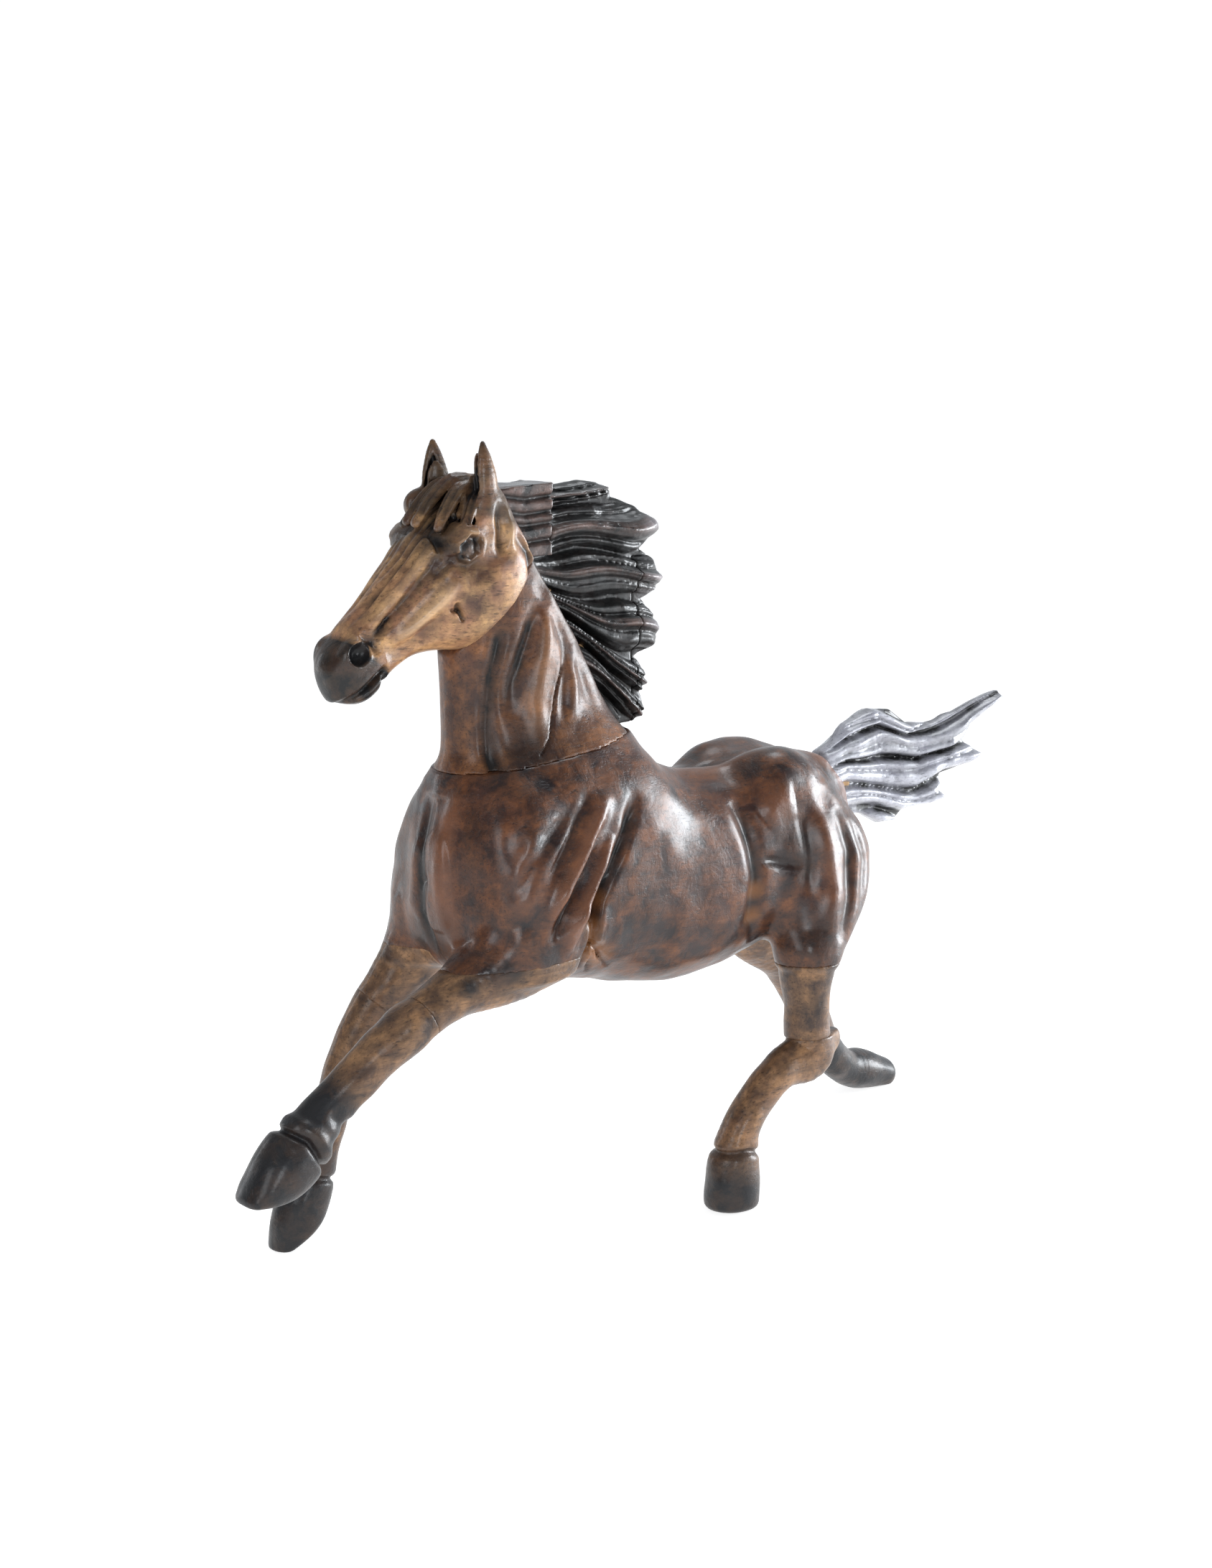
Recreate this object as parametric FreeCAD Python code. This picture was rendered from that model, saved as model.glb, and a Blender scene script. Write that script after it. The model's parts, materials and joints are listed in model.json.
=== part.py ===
import FreeCAD, Part
import math
import os

# Carved wooden horse at full gallop, glued up from blocks of wood and hidden dowels.
# Lengths are millimetres.  X runs forward to the head, Y to the horse's own left and
# Z up from the table.  Numbers below are measured from the middle of the horse's
# length, from the centre plane of its body and from the table.

# ---- driving dimensions ----
BODY_SHIFT = FreeCAD.Vector(0.2, 8.3, 0.0)   # centre plane sits left of the box centre
TABLE_Z = 0.0

# block lines, where one glued block ends and the next one starts
NECK_SEAM_FRONT = (75.0, 133.0)      # neck on chest, front and rear end of the line
NECK_SEAM_REAR = (18.0, 140.0)
HEAD_SEAM_THROAT = (72.0, 165.0)     # head on neck, throat end and crest end
HEAD_SEAM_CREST = (50.0, 190.0)
FORELEG_SEAM_Z = 84.0                # both forelegs under the shoulders
HIND_SEAM_Z = 68.0                   # both hind legs under the thighs
HOCK_SEAM_Z = 46.0                   # left hind leg above the hock
TAIL_SEAM_X = -66.0                  # tail on the rump
POLL_SEAM_X = 41.0                   # poll block on the mane board

# thickness of the flat blocks, and of the dowels in their bores
MANE_HALF = 6.5
POLL_HALF = 7.0
TAIL_HALF = 5.0
DOWEL_BIG = 6.0
DOWEL_MID = 5.0
DOWEL_SMALL = 4.0
PIN = 3.0
BORE_CLEARANCE = 0.1                 # on the diameter
BORE_END_GAP = 0.5                   # glue room past each end of a dowel
RING_POINTS = 16

# the line where the mane meets the neck, from the poll down to the withers
MANE_SEAM = [(59.0, 208.0), (57.0, 200.0), (49.0, 187.0),
             (34.0, 166.0), (27.0, 153.0), (18.0, 140.0)]

# rear edge of the mane board, from its top down, each pair a lock tip and a notch
MANE_REAR = [(POLL_SEAM_X, 205.5), (26.0, 206.5), (15.0, 200.0), (1.0, 193.0),
             (12.0, 187.0), (0.5, 179.0), (10.0, 173.5), (1.0, 163.0), (11.0, 158.5),
             (5.0, 151.0), (7.8, 147.5), (5.5, 144.0)]
TIP_LINE_X = 8.4                     # glue line that crosses the lower lock tips
TIP_CUTS = (187.0, 173.5, 158.5, 138.0)   # heights that part one glued tip from the next

# the tail: its top edge, out to the tip, and back along the lower locks
TAIL_TOP = [(-76.0, 131.0), (-88.0, 131.5), (-103.0, 126.0), (-112.0, 128.5),
            (-124.0, 131.5), (-137.0, 135.0), (-145.0, 132.5)]
TAIL_LOW = [(-127.0, 123.5), (-133.0, 117.5), (-116.0, 110.5), (-118.0, 104.5),
            (-100.0, 103.0), (-91.0, 100.0), (-82.0, 103.0)]

# body sections: distance forward, lowest point, highest point, half width
BODY = [(78, 92, 118, 8), (74.5, 84, 127, 18), (66, 77, 136, 25), (52, 74, 141, 26.5),
        (34, 72, 144, 26), (16, 68, 140, 24.5), (2, 66, 128.5, 24), (-14, 67, 125, 23.5),
        (-30, 71, 126, 22.5), (-46, 77, 127.5, 21), (-60, 84, 124, 17),
        (-69, 92, 116, 9)]

# head sections: point on the face line, point on the jaw line, half width
HEAD = [((56, 208), (50, 184), 8), ((63, 208), (58, 173), 12),
        ((72, 203), (67, 166), 14), ((80, 197), (75, 166), 13),
        ((89, 189), (84, 166), 10), ((98, 181), (92, 162), 8),
        ((106, 172.5), (98, 156), 7.6), ((110, 166.5), (103, 154), 7),
        ((111.5, 163), (108, 157), 4.5)]

# neck sections above the seam: front point, rear point, half width
NECK = [((71.5, 140), (8, 146), 15), ((71.5, 152), (16, 160), 13),
        ((73, 163), (24, 176), 12), ((74, 172), (36, 192), 11.5),
        ((72, 182), (46, 204), 10.5)]

# legs: x, y, z of the centre line, half depth fore and aft, half width
LEFT_FORE = [(46, 19, 95, 12, 9), (60, 18, 87, 12.4, 9), (72, 17.2, 82, 9.4, 8.4),
             (82, 16.5, 78.5, 7, 7), (92.5, 16, 74, 5.2, 5.6)]
LEFT_FORE_LOW = [(92.5, 16, 74, 5.2, 5.6), (99, 16, 70.5, 7, 6.2),
                 (109, 15.5, 63.5, 6.4, 5.3), (119, 15, 56.3, 6.4, 5.3),
                 (126, 15, 50, 6.4, 5.8), (130.5, 15, 44.5, 8, 6.8),
                 (135, 15, 34.5, 9.6, 7.8)]
RIGHT_FORE = [(52, -16.5, 97, 11, 9.2), (63, -18.5, 86, 10.5, 8.6),
              (72, -21.5, 76, 8, 7.4), (79, -24, 67, 6.4, 6.2)]
RIGHT_FORE_LOW = [(79, -24, 67, 6.4, 6.2), (84, -25.7, 58, 6.2, 5.8),
                  (88.7, -27.7, 46.5, 5.4, 5.2), (92.3, -29.5, 33, 5, 5),
                  (95, -31, 24, 5.9, 5.6), (98, -32, 15, 7.4, 6.6),
                  (100, -33, 1, 8, 7.4)]
LEFT_HIND = [(-41.6, 21, 68, 8.7, 8.5), (-41, 21.4, 60, 7.2, 7.2),
             (-41, 21.8, 53, 6.6, 6.6), (-41.4, 22, 46, 7.0, 6.0)]
LEFT_HIND_LOW = [(-41.5, 22, 46, 7.2, 6.2), (-41.2, 22, 40.3, 7.9, 6.2),
                 (-34, 21.7, 35.8, 6.9, 5.7), (-25.5, 21.2, 30.3, 6.1, 5.4),
                 (-18.2, 21, 22.5, 6.1, 5.5), (-13.7, 21, 14, 7.8, 6.6),
                 (-12.5, 21, 0, 8, 7.2)]
RIGHT_HIND = [(-62, -20, 68, 12, 9), (-71, -22, 59.5, 9, 7.8),
              (-80, -24.5, 50, 7.4, 6.6)]
RIGHT_HIND_LOW = [(-80, -24.5, 50, 7.4, 6.6), (-87.5, -27, 40, 7.2, 6.2),
                  (-94.5, -29, 30, 6.2, 5.5), (-101, -31, 21.5, 5.5, 5.2),
                  (-107.5, -33, 14.5, 5.8, 5.5), (-115, -35.2, 9.5, 5.6, 5.8),
                  (-123, -37, 7, 6.8, 7), (-134, -38.5, 3.6, 5.4, 7)]
THIGH_LEFT = [(-46, 9, 118, 10, 8), (-49, 12, 106, 19, 12.5), (-50.5, 14, 94, 20, 13),
              (-48, 17, 81, 16.5, 12), (-44, 19.5, 73, 12, 10), (-41.5, 21, 68, 9.4, 9)]
THIGH_RIGHT = [(-42, -10, 121, 9, 7), (-47, -12, 107, 18, 12.5), (-52, -14, 93, 19, 13),
               (-57.5, -17, 80, 16, 11.5), (-62, -20, 68, 12.5, 9.4)]
SHOULDER_LEFT = [(44, 8, 127, 10, 8), (52, 11, 116, 17, 13), (57, 14, 104, 17, 13),
                 (59, 16, 92, 16, 11.5), (60, 17, 82, 15, 10)]
SHOULDER_RIGHT = [(46, -8, 127, 10, 8), (55, -12, 116, 17, 14), (60, -15, 104, 16.5, 14),
                  (63, -17, 92, 14, 12.5), (64, -18.5, 82, 12.5, 10)]

Vec = FreeCAD.Vector
UP = Vec(0, 0, 1)
DOWN = Vec(0, 0, -1)
SIDE = Vec(0, 1, 0)


# ---- shared shapes ----
def ring(centre, tall, wide, square=1.0):
    """A closed oval wire on two half axes; below 1, square makes it boxier."""
    points = []
    for k in range(RING_POINTS):
        a = 2 * math.pi * k / RING_POINTS
        c = math.copysign(abs(math.cos(a)) ** square, math.cos(a))
        d = math.copysign(abs(math.sin(a)) ** square, math.sin(a))
        points.append(centre + tall * c + wide * d)
    curve = Part.BSplineCurve()
    curve.interpolate(points, PeriodicFlag=True)
    return Part.Wire([curve.toShape()])


def limb(stations, first=None, last=None, level=False):
    """A tapered round limb along its stations, with the end cuts facing first, last.

    A level limb has every ring flat, which suits the muscles that end on a flat seam.
    """
    spots = [Vec(s[0], s[1], s[2]) for s in stations]
    wires = []
    for i, s in enumerate(stations):
        along = spots[min(i + 1, len(spots) - 1)] - spots[max(i - 1, 0)]
        if i == 0 and first is not None:
            along = Vec(first)
        if i == len(spots) - 1 and last is not None:
            along = Vec(last)
        if level:
            along = Vec(DOWN)
        along.normalize()
        wide = SIDE - along * SIDE.dot(along)
        wide.normalize()
        tall = wide.cross(along)
        wires.append(ring(spots[i], tall * s[3], wide * s[4]))
    return Part.makeLoft(wires, True, False)


def slices(sections, square=1.0):
    """A body through oval slices, each given by its top, its bottom and half width."""
    wires = []
    for top, bottom, half in sections:
        t = Vec(top[0], 0, top[1])
        b = Vec(bottom[0], 0, bottom[1])
        wires.append(ring((t + b) * 0.5, (t - b) * 0.5, SIDE * half, square))
    return Part.makeLoft(wires, True, False)


def board(points, half):
    """A flat board: an outline in the XZ plane, half a thickness to each side."""
    corners = [Vec(p[0], -half, p[1]) for p in points]
    corners.append(corners[0])
    face = Part.Face(Part.makePolygon(corners))
    return face.extrude(Vec(0, 2 * half, 0))


def block(x, y, z):
    """A plain box from three (low, high) pairs, used to cut along the seams."""
    return Part.makeBox(x[1] - x[0], y[1] - y[0], z[1] - z[0],
                        Vec(x[0], y[0], z[0]))


def above_line(a, b, reach=120.0):
    """All space on the upper side of the seam plane through a and b."""
    along = Vec(b[0] - a[0], 0, b[1] - a[1])
    along.normalize()
    normal = Vec(-along.z, 0, along.x)
    if normal.z < 0:
        normal = normal * -1
    p = Vec(a[0], 0, a[1]) - along * reach
    q = Vec(a[0], 0, a[1]) + along * reach
    corners = [p, q, q + normal * reach, p + normal * reach, p]
    lowered = [c + Vec(0, -80, 0) for c in corners]
    return Part.Face(Part.makePolygon(lowered)).extrude(Vec(0, 160, 0))


def rod(middle, axis, diameter, length):
    direction = Vec(axis)
    direction.normalize()
    start = Vec(middle) - direction * (length / 2)
    return Part.makeCylinder(diameter / 2, length, start, direction)


def one_solid(shape):
    """The single solid of a boolean result; scraps from the cut are left out."""
    solids = sorted(shape.Solids, key=lambda s: s.Volume)
    return solids[-1]


# ---- seam planes and the dowels that cross them ----
def seam_normal(a, b):
    along = Vec(b[0] - a[0], 0, b[1] - a[1])
    along.normalize()
    normal = Vec(-along.z, 0, along.x)
    if normal.z < 0:
        normal = normal * -1
    return normal


def neck_seam_point(x):
    (xf, zf), (xr, zr) = NECK_SEAM_FRONT, NECK_SEAM_REAR
    return Vec(x, 0, zf + (zr - zf) * (xf - x) / (xf - xr))


NECK_UP = seam_normal(NECK_SEAM_FRONT, NECK_SEAM_REAR)
HEAD_UP = seam_normal(HEAD_SEAM_THROAT, HEAD_SEAM_CREST)
HEAD_MIDDLE = Vec((HEAD_SEAM_THROAT[0] + HEAD_SEAM_CREST[0]) / 2, 0,
                  (HEAD_SEAM_THROAT[1] + HEAD_SEAM_CREST[1]) / 2)
MANE_BACK = Vec(-0.81, 0, 0.58)      # square to the mane seam
KNEE_LEFT = Vec(0.87, 0, -0.49)      # square to the knee splice of the left foreleg
KNEE_RIGHT = Vec(0.62, -0.2, -0.76)
HOCK_RIGHT = Vec(-0.66, -0.2, -0.72)

# name: (middle, axis, diameter, length, the two pieces that it joins)
DOWELS = {
    "neck_dowel_front": (neck_seam_point(59), NECK_UP, DOWEL_BIG, 24, "torso", "neck"),
    "neck_dowel_rear": (neck_seam_point(38), NECK_UP, DOWEL_BIG, 24, "torso", "neck"),
    "head_dowel": (HEAD_MIDDLE, HEAD_UP, DOWEL_BIG, 20, "neck", "head"),
    "mane_pin_upper": (Vec(42, 0, 177.2), MANE_BACK, PIN, 13, "neck", "mane_board"),
    "mane_pin_lower": (Vec(31, 0, 160.4), MANE_BACK, PIN, 13, "neck", "mane_board"),
    "poll_pin": (Vec(52.4, 0, 192.5), MANE_BACK, PIN, 9, "head", "mane_poll_block"),
    "tail_dowel": (Vec(TAIL_SEAM_X, 0, 113), Vec(-1, 0, 0.15), DOWEL_MID, 22,
                   "torso", "tail"),
    "left_foreleg_dowel": (Vec(62, 18, FORELEG_SEAM_Z + 3), UP, DOWEL_MID, 16,
                           "torso", "left_forearm"),
    "right_foreleg_dowel": (Vec(66, -18.5, FORELEG_SEAM_Z + 2), UP, DOWEL_MID, 16,
                            "torso", "right_forearm"),
    "left_hind_dowel": (Vec(-41.5, 20.5, HIND_SEAM_Z), UP, DOWEL_MID, 22,
                        "torso", "left_gaskin"),
    "right_hind_dowel": (Vec(-62, -19.5, HIND_SEAM_Z + 2), UP, DOWEL_MID, 16,
                         "torso", "right_gaskin"),
    "left_knee_dowel": (Vec(92.5, 16, 74), KNEE_LEFT, DOWEL_SMALL, 16,
                        "left_forearm", "left_fore_shank"),
    "right_knee_dowel": (Vec(79, -24, 67), KNEE_RIGHT, DOWEL_SMALL, 16,
                         "right_forearm", "right_fore_shank"),
    "left_hock_dowel": (Vec(-41.5, 22, HOCK_SEAM_Z), UP, DOWEL_SMALL, 14,
                        "left_gaskin", "left_hind_shank"),
    "right_hock_dowel": (Vec(-80, -24.5, 50), HOCK_RIGHT, DOWEL_SMALL, 16,
                         "right_gaskin", "right_hind_shank"),
}


def drilled(shape, node):
    """The piece with a bore for each dowel that enters it."""
    for middle, axis, diameter, length, one, other in DOWELS.values():
        if node in (one, other):
            shape = shape.cut(rod(middle, axis, diameter + BORE_CLEARANCE,
                                  length + 2 * BORE_END_GAP))
    return one_solid(shape)


# ---- the blocks ----
def behind_mane_seam():
    """All space behind the mane seam, above the withers."""
    outline = list(MANE_SEAM)
    outline = outline + [(-90.0, 140.0), (-90.0, 230.0), (59.0, 230.0)]
    return board(outline, 60)


def make_torso():
    barrel = slices([((x, high), (x, low), half) for x, low, high, half in BODY], 0.9)
    body = barrel
    for stations in (THIGH_LEFT, THIGH_RIGHT, SHOULDER_LEFT, SHOULDER_RIGHT):
        body = body.fuse(limb(stations, level=True))
    body = body.cut(above_line(NECK_SEAM_FRONT, NECK_SEAM_REAR)
                    .common(block((0, 120), (-60, 60), (100, 200))))
    for side in (1, -1):
        low_y, high_y = sorted((side * 7.0, side * 60.0))
        body = body.cut(block((30, 110), (low_y, high_y), (40, FORELEG_SEAM_Z)))
    body = body.cut(block((-120, TAIL_SEAM_X), (-7, 7), (99, 140)))
    return body


def make_neck():
    (xf, zf), (xr, zr) = NECK_SEAM_FRONT, NECK_SEAM_REAR
    foot = [((71.0, zf - 8), (8.0, zr - 6), 18), ((71.2, zf), (6.0, zr + 1), 16.5)]
    neck = slices(foot + NECK)
    neck = neck.common(above_line(NECK_SEAM_FRONT, NECK_SEAM_REAR))
    neck = neck.cut(above_line(HEAD_SEAM_THROAT, HEAD_SEAM_CREST))
    return neck.cut(behind_mane_seam())


def make_ear(side, x, lean):
    base = Vec(x, side * 8.0, 200.0)
    tip = Vec(x + lean, side * 9.5, 220.5)
    wires = []
    for t, half in ((0.0, 5.0), (0.4, 4.6), (0.75, 2.8), (1.0, 0.6)):
        centre = base + (tip - base) * t
        wires.append(ring(centre, Vec(half, 0, 0), Vec(0, half * 0.72, 0)))
    return Part.makeLoft(wires, True, False)


def make_head():
    skull = slices(HEAD, 0.8)
    skull = skull.fuse(make_ear(1, 65.5, 1.0))
    skull = skull.fuse(make_ear(-1, 67.5, 1.5))
    skull = skull.common(above_line(HEAD_SEAM_THROAT, HEAD_SEAM_CREST))
    return skull.cut(behind_mane_seam())


def make_poll_block():
    outline = [(59, 208), (POLL_SEAM_X, 208), (POLL_SEAM_X, 192),
               (50.23, 189), (57, 200)]
    return board(outline, POLL_HALF)


def mane_outline():
    top = [(POLL_SEAM_X, 192.0), (50.23, 189.0)]
    return top + MANE_SEAM[2:] + MANE_REAR[::-1]


def make_mane_board():
    return board(mane_outline(), MANE_HALF).cut(
        block((-60, TIP_LINE_X), (-30, 30), (TIP_CUTS[-1], TIP_CUTS[0])))


def make_mane_tip(number):
    """One glued lock tip, counted from the top, behind the glue line."""
    high, low = TIP_CUTS[number], TIP_CUTS[number + 1]
    return board(mane_outline(), MANE_HALF).common(
        block((-60, TIP_LINE_X), (-30, 30), (low, high)))


def make_tail():
    root = [(TAIL_SEAM_X, 120.5)]
    foot = [(TAIL_SEAM_X, 104.0)]
    return board(root + TAIL_TOP + TAIL_LOW + foot, TAIL_HALF)


def make_forearm(stations, knee):
    leg = limb(stations, None, knee)
    return leg.cut(block((0, 120), (-60, 60), (FORELEG_SEAM_Z, 160)))


def make_shank(stations, first, last):
    """Lower leg and hoof, with the part that would sink into the table cut flat."""
    leg = limb(stations, first, last)
    return leg.cut(block((-200, 200), (-80, 80), (-60, TABLE_Z)))


PIECES = {
    "torso": make_torso,
    "neck": make_neck,
    "head": make_head,
    "mane_poll_block": make_poll_block,
    "mane_board": make_mane_board,
    "mane_tip_upper": lambda: make_mane_tip(0),
    "mane_tip_middle": lambda: make_mane_tip(1),
    "mane_tip_lower": lambda: make_mane_tip(2),
    "tail": make_tail,
    "left_forearm": lambda: make_forearm(LEFT_FORE, KNEE_LEFT),
    "right_forearm": lambda: make_forearm(RIGHT_FORE, KNEE_RIGHT),
    "left_fore_shank": lambda: make_shank(LEFT_FORE_LOW, KNEE_LEFT, DOWN),
    "right_fore_shank": lambda: make_shank(RIGHT_FORE_LOW, KNEE_RIGHT,
                                           Vec(-0.35, 0, -0.94)),
    "left_gaskin": lambda: limb(LEFT_HIND, level=True),
    "right_gaskin": lambda: limb(RIGHT_HIND, DOWN, HOCK_RIGHT).cut(
        block((-200, 0), (-80, 0), (HIND_SEAM_Z, 90))),
    "left_hind_shank": lambda: make_shank(LEFT_HIND_LOW, DOWN, DOWN),
    "right_hind_shank": lambda: make_shank(RIGHT_HIND_LOW, HOCK_RIGHT,
                                           Vec(-0.9, 0, 0.25)),
}


def write(name, shape):
    shape = shape.copy()
    shape.translate(BODY_SHIFT)
    shape.exportStep("parts/" + name + ".step")


os.makedirs("parts", exist_ok=True)
for name, make in PIECES.items():
    write(name, drilled(make(), name))
for name, (middle, axis, diameter, length, one, other) in DOWELS.items():
    write(name, rod(middle, axis, diameter, length))
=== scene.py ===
import json
import math
import bpy
import numpy as np
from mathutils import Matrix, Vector

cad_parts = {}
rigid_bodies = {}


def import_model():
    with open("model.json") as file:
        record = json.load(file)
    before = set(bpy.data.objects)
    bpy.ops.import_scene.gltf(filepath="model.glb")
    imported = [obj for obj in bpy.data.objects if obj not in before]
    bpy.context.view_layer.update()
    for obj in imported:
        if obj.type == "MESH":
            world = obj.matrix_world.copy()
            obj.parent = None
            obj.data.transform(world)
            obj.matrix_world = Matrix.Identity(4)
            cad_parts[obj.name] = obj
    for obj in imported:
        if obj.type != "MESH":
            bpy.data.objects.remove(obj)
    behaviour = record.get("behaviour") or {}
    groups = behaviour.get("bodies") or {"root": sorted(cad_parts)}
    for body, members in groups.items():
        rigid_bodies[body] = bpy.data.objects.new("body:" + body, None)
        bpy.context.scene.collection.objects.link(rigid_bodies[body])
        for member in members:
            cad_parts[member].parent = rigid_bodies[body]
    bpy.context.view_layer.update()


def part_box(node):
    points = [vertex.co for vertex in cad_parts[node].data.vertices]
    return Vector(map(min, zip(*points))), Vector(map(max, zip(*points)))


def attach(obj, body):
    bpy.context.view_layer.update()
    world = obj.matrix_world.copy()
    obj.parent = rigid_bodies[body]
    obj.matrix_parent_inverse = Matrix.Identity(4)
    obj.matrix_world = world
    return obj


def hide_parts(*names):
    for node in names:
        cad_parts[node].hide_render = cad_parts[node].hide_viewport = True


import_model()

# The carved horse is sculpted as signed distances on a grid, one grid for each block of
# wood, and each grid is turned into a mesh.  Sculpting numbers are millimetres: x from the
# middle of the horse's length, y from its centre plane, z up from the table.

MM = 0.001
FAR = 12.0          # value kept where a form is too far off to matter
STROKE_REACH = 2.6  # a gouge is worked out this many widths to each side of its line
LATTICE = 32        # points along each side of the table behind the slow unevenness


# the middle of the front neck dowel, 16 mm behind the low front end of the neck seam,
# which climbs 7 mm in 57
DOWEL_MIDDLE = (59.0, 0.0, 133.0 + 7.0 * 16.0 / 57.0)


def place_of_carving():
    """Where the sculpting origin lies in the frame: found from a dowel that CAD placed."""
    low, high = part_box("neck_dowel_front")
    return (Vector(low) + Vector(high)) / 2 - Vector(DOWEL_MIDDLE) * MM


PLACE = place_of_carving()

# ---------------------------------------------------------------- grids and fields


class Grid:
    """The points of a box, as three open axes, so a field of x and z alone stays small."""

    def __init__(self, axes):
        self.axes = axes
        self.shape = tuple(len(a) for a in axes)
        self.x = axes[0][:, None, None]
        self.y = axes[1][None, :, None]
        self.z = axes[2][None, None, :]

    def part(self, low, high):
        """The slice of this grid inside a box, and the grid of just that slice."""
        cut = []
        for axis, l, h in zip(self.axes, low, high):
            i, j = np.searchsorted(axis, (l, h))
            cut.append(slice(i, max(i, j)))
        return tuple(cut), Grid([axis[c] for axis, c in zip(self.axes, cut)])

    def empty(self):
        return np.full(self.shape, FAR, np.float32)


def blend_in(a, b, k):
    """Union of two fields with a fillet of about k."""
    h = np.clip(0.5 + 0.5 * (a - b) / k, 0.0, 1.0)
    return a + (b - a) * h - k * h * (1.0 - h)


def keep(a, b, k=0.6):
    """What is inside both fields, with the edge between them eased by k."""
    return -blend_in(-a, -b, k)


def smooth_table(rows, at):
    """Smooth values between the rows of a table, at the given places along its column 0."""
    rows = np.array(rows, np.float32)
    xs = rows[:, 0]
    if xs[0] > xs[-1]:
        rows = rows[::-1]
        xs = rows[:, 0]
    slope = np.gradient(rows[:, 1:], xs, axis=0)
    place = np.clip(at, xs[0], xs[-1])
    i = np.clip(np.searchsorted(xs, place) - 1, 0, len(xs) - 2)
    width = (xs[i + 1] - xs[i])[:, None]
    t = ((place - xs[i])[:, None]) / width
    a = rows[i, 1:]
    b = rows[i + 1, 1:]
    da = slope[i] * width
    db = slope[i + 1] * width
    return ((2 * t ** 3 - 3 * t ** 2 + 1) * a + (t ** 3 - 2 * t ** 2 + t) * da
            + (3 * t ** 2 - 2 * t ** 3) * b + (t ** 3 - t ** 2) * db)


def oval(u, v, cap, ru, rv, square=2.0, nose=None):
    """Distance from an oval rod: u and v across it, cap the distance past its end, and
    nose how far its rounded end reaches."""
    ru = np.maximum(ru, 0.3)
    rv = np.maximum(rv, 0.3)
    small = np.minimum(ru, rv) if nose is None else nose
    if square == 2.0:
        q = (u / ru) ** 2 + (v / rv) ** 2 + (cap / small) ** 2
        q = np.sqrt(q + 1e-6)
    else:
        q = np.abs(u / ru) ** square + np.abs(v / rv) ** square
        q = (q + np.abs(cap / small) ** square + 1e-6) ** (1.0 / square)
    r = np.sqrt(u * u + v * v + cap * cap) + 1e-4
    return r - r / q


def along_x(g, sections):
    """A body through upright slices: x, lowest point, highest point, half width."""
    x = g.axes[0]
    low, high, half = (c[:, None, None] for c in smooth_table(sections, x).T)
    xs = [s[0] for s in sections]
    cap = np.maximum(x - max(xs), 0) + np.maximum(min(xs) - x, 0)
    return oval(g.z - (low + high) / 2, g.y, cap[:, None, None],
                (high - low) / 2, half, square=2.3, nose=1.6)


def along_z(g, sections):
    """A muscle through level slices: x, y, z of its centre, half depth, half width."""
    rows = [(s[2], s[0], s[1], s[3], s[4]) for s in sections]
    zs = [r[0] for r in rows]
    z = g.axes[2]
    xc, yc, half_x, half_y = (c[None, None, :] for c in smooth_table(rows, z).T)
    cap = np.maximum(z - max(zs), 0) + np.maximum(min(zs) - z, 0)
    return oval(g.x - xc, g.y - yc, cap[None, None, :], half_x, half_y, nose=2.5)


def smooth_path(stations, each):
    """The stations of a limb with smooth steps put in between."""
    s = np.array(stations, np.float64)
    t = np.arange(len(s), dtype=np.float64)
    rows = np.column_stack([t, s])
    return smooth_table(rows, np.linspace(0, len(s) - 1, (len(s) - 1) * each + 1))


def limb(g, stations, each=5, margin=9.0):
    """A tapered rod along its stations: x, y, z, half depth fore and aft, half width."""
    field = g.empty()
    path = smooth_path(stations, each)
    for a, b in zip(path[:-1], path[1:]):
        reach = max(a[3], a[4], b[3], b[4]) + margin
        low = np.minimum(a[:3], b[:3]) - reach
        high = np.maximum(a[:3], b[:3]) + reach
        cut, s = g.part(low, high)
        if 0 in s.shape:
            continue
        axis = b[:3] - a[:3]
        length = np.linalg.norm(axis)
        axis = axis / length
        side = np.array((0.0, 1.0, 0.0)) - axis * axis[1]
        side /= np.linalg.norm(side)
        front = np.cross(side, axis)
        px, py, pz = s.x - a[0], s.y - a[1], s.z - a[2]
        w = px * axis[0] + py * axis[1] + pz * axis[2]
        t = np.clip(w / length, 0.0, 1.0)
        u = px * front[0] + py * front[1] + pz * front[2]
        v = px * side[0] + py * side[1] + pz * side[2]
        d = oval(u, v, w - t * length, a[3] + (b[3] - a[3]) * t,
                 a[4] + (b[4] - a[4]) * t)
        field[cut] = np.minimum(field[cut], d)
    return field


def ball(g, centre, radii, turn=0.0):
    """An egg form; turn tips it nose down, in degrees about y."""
    x, y, z = g.x - centre[0], g.y - centre[1], g.z - centre[2]
    c, s = math.cos(math.radians(turn)), math.sin(math.radians(turn))
    u = x * c - z * s
    w = x * s + z * c
    q = np.sqrt((u / radii[0]) ** 2 + (y / radii[1]) ** 2 + (w / radii[2]) ** 2 + 1e-6)
    r = np.sqrt(u * u + y * y + w * w) + 1e-4
    return r - r / q


def lines_distance(points, place, axes):
    """Distance from a broken line, and how far along it, measured in the given axes."""
    best = np.inf
    where = 0.0
    total = len(points) - 1
    for i, (a, b) in enumerate(zip(points[:-1], points[1:])):
        span = [b[k] - a[k] for k in axes]
        size = sum(s * s for s in span) + 1e-9
        t = sum((place[k] - a[k]) * s for k, s in zip(axes, span)) / size
        t = np.clip(t, 0.0, 1.0)
        d = sum((place[k] - a[k] - t * s) ** 2 for k, s in zip(axes, span))
        t = (t + i) / total
        nearer = d < best
        best = np.where(nearer, d, best)
        where = np.where(nearer, t, where)
    return np.sqrt(best), where


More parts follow.
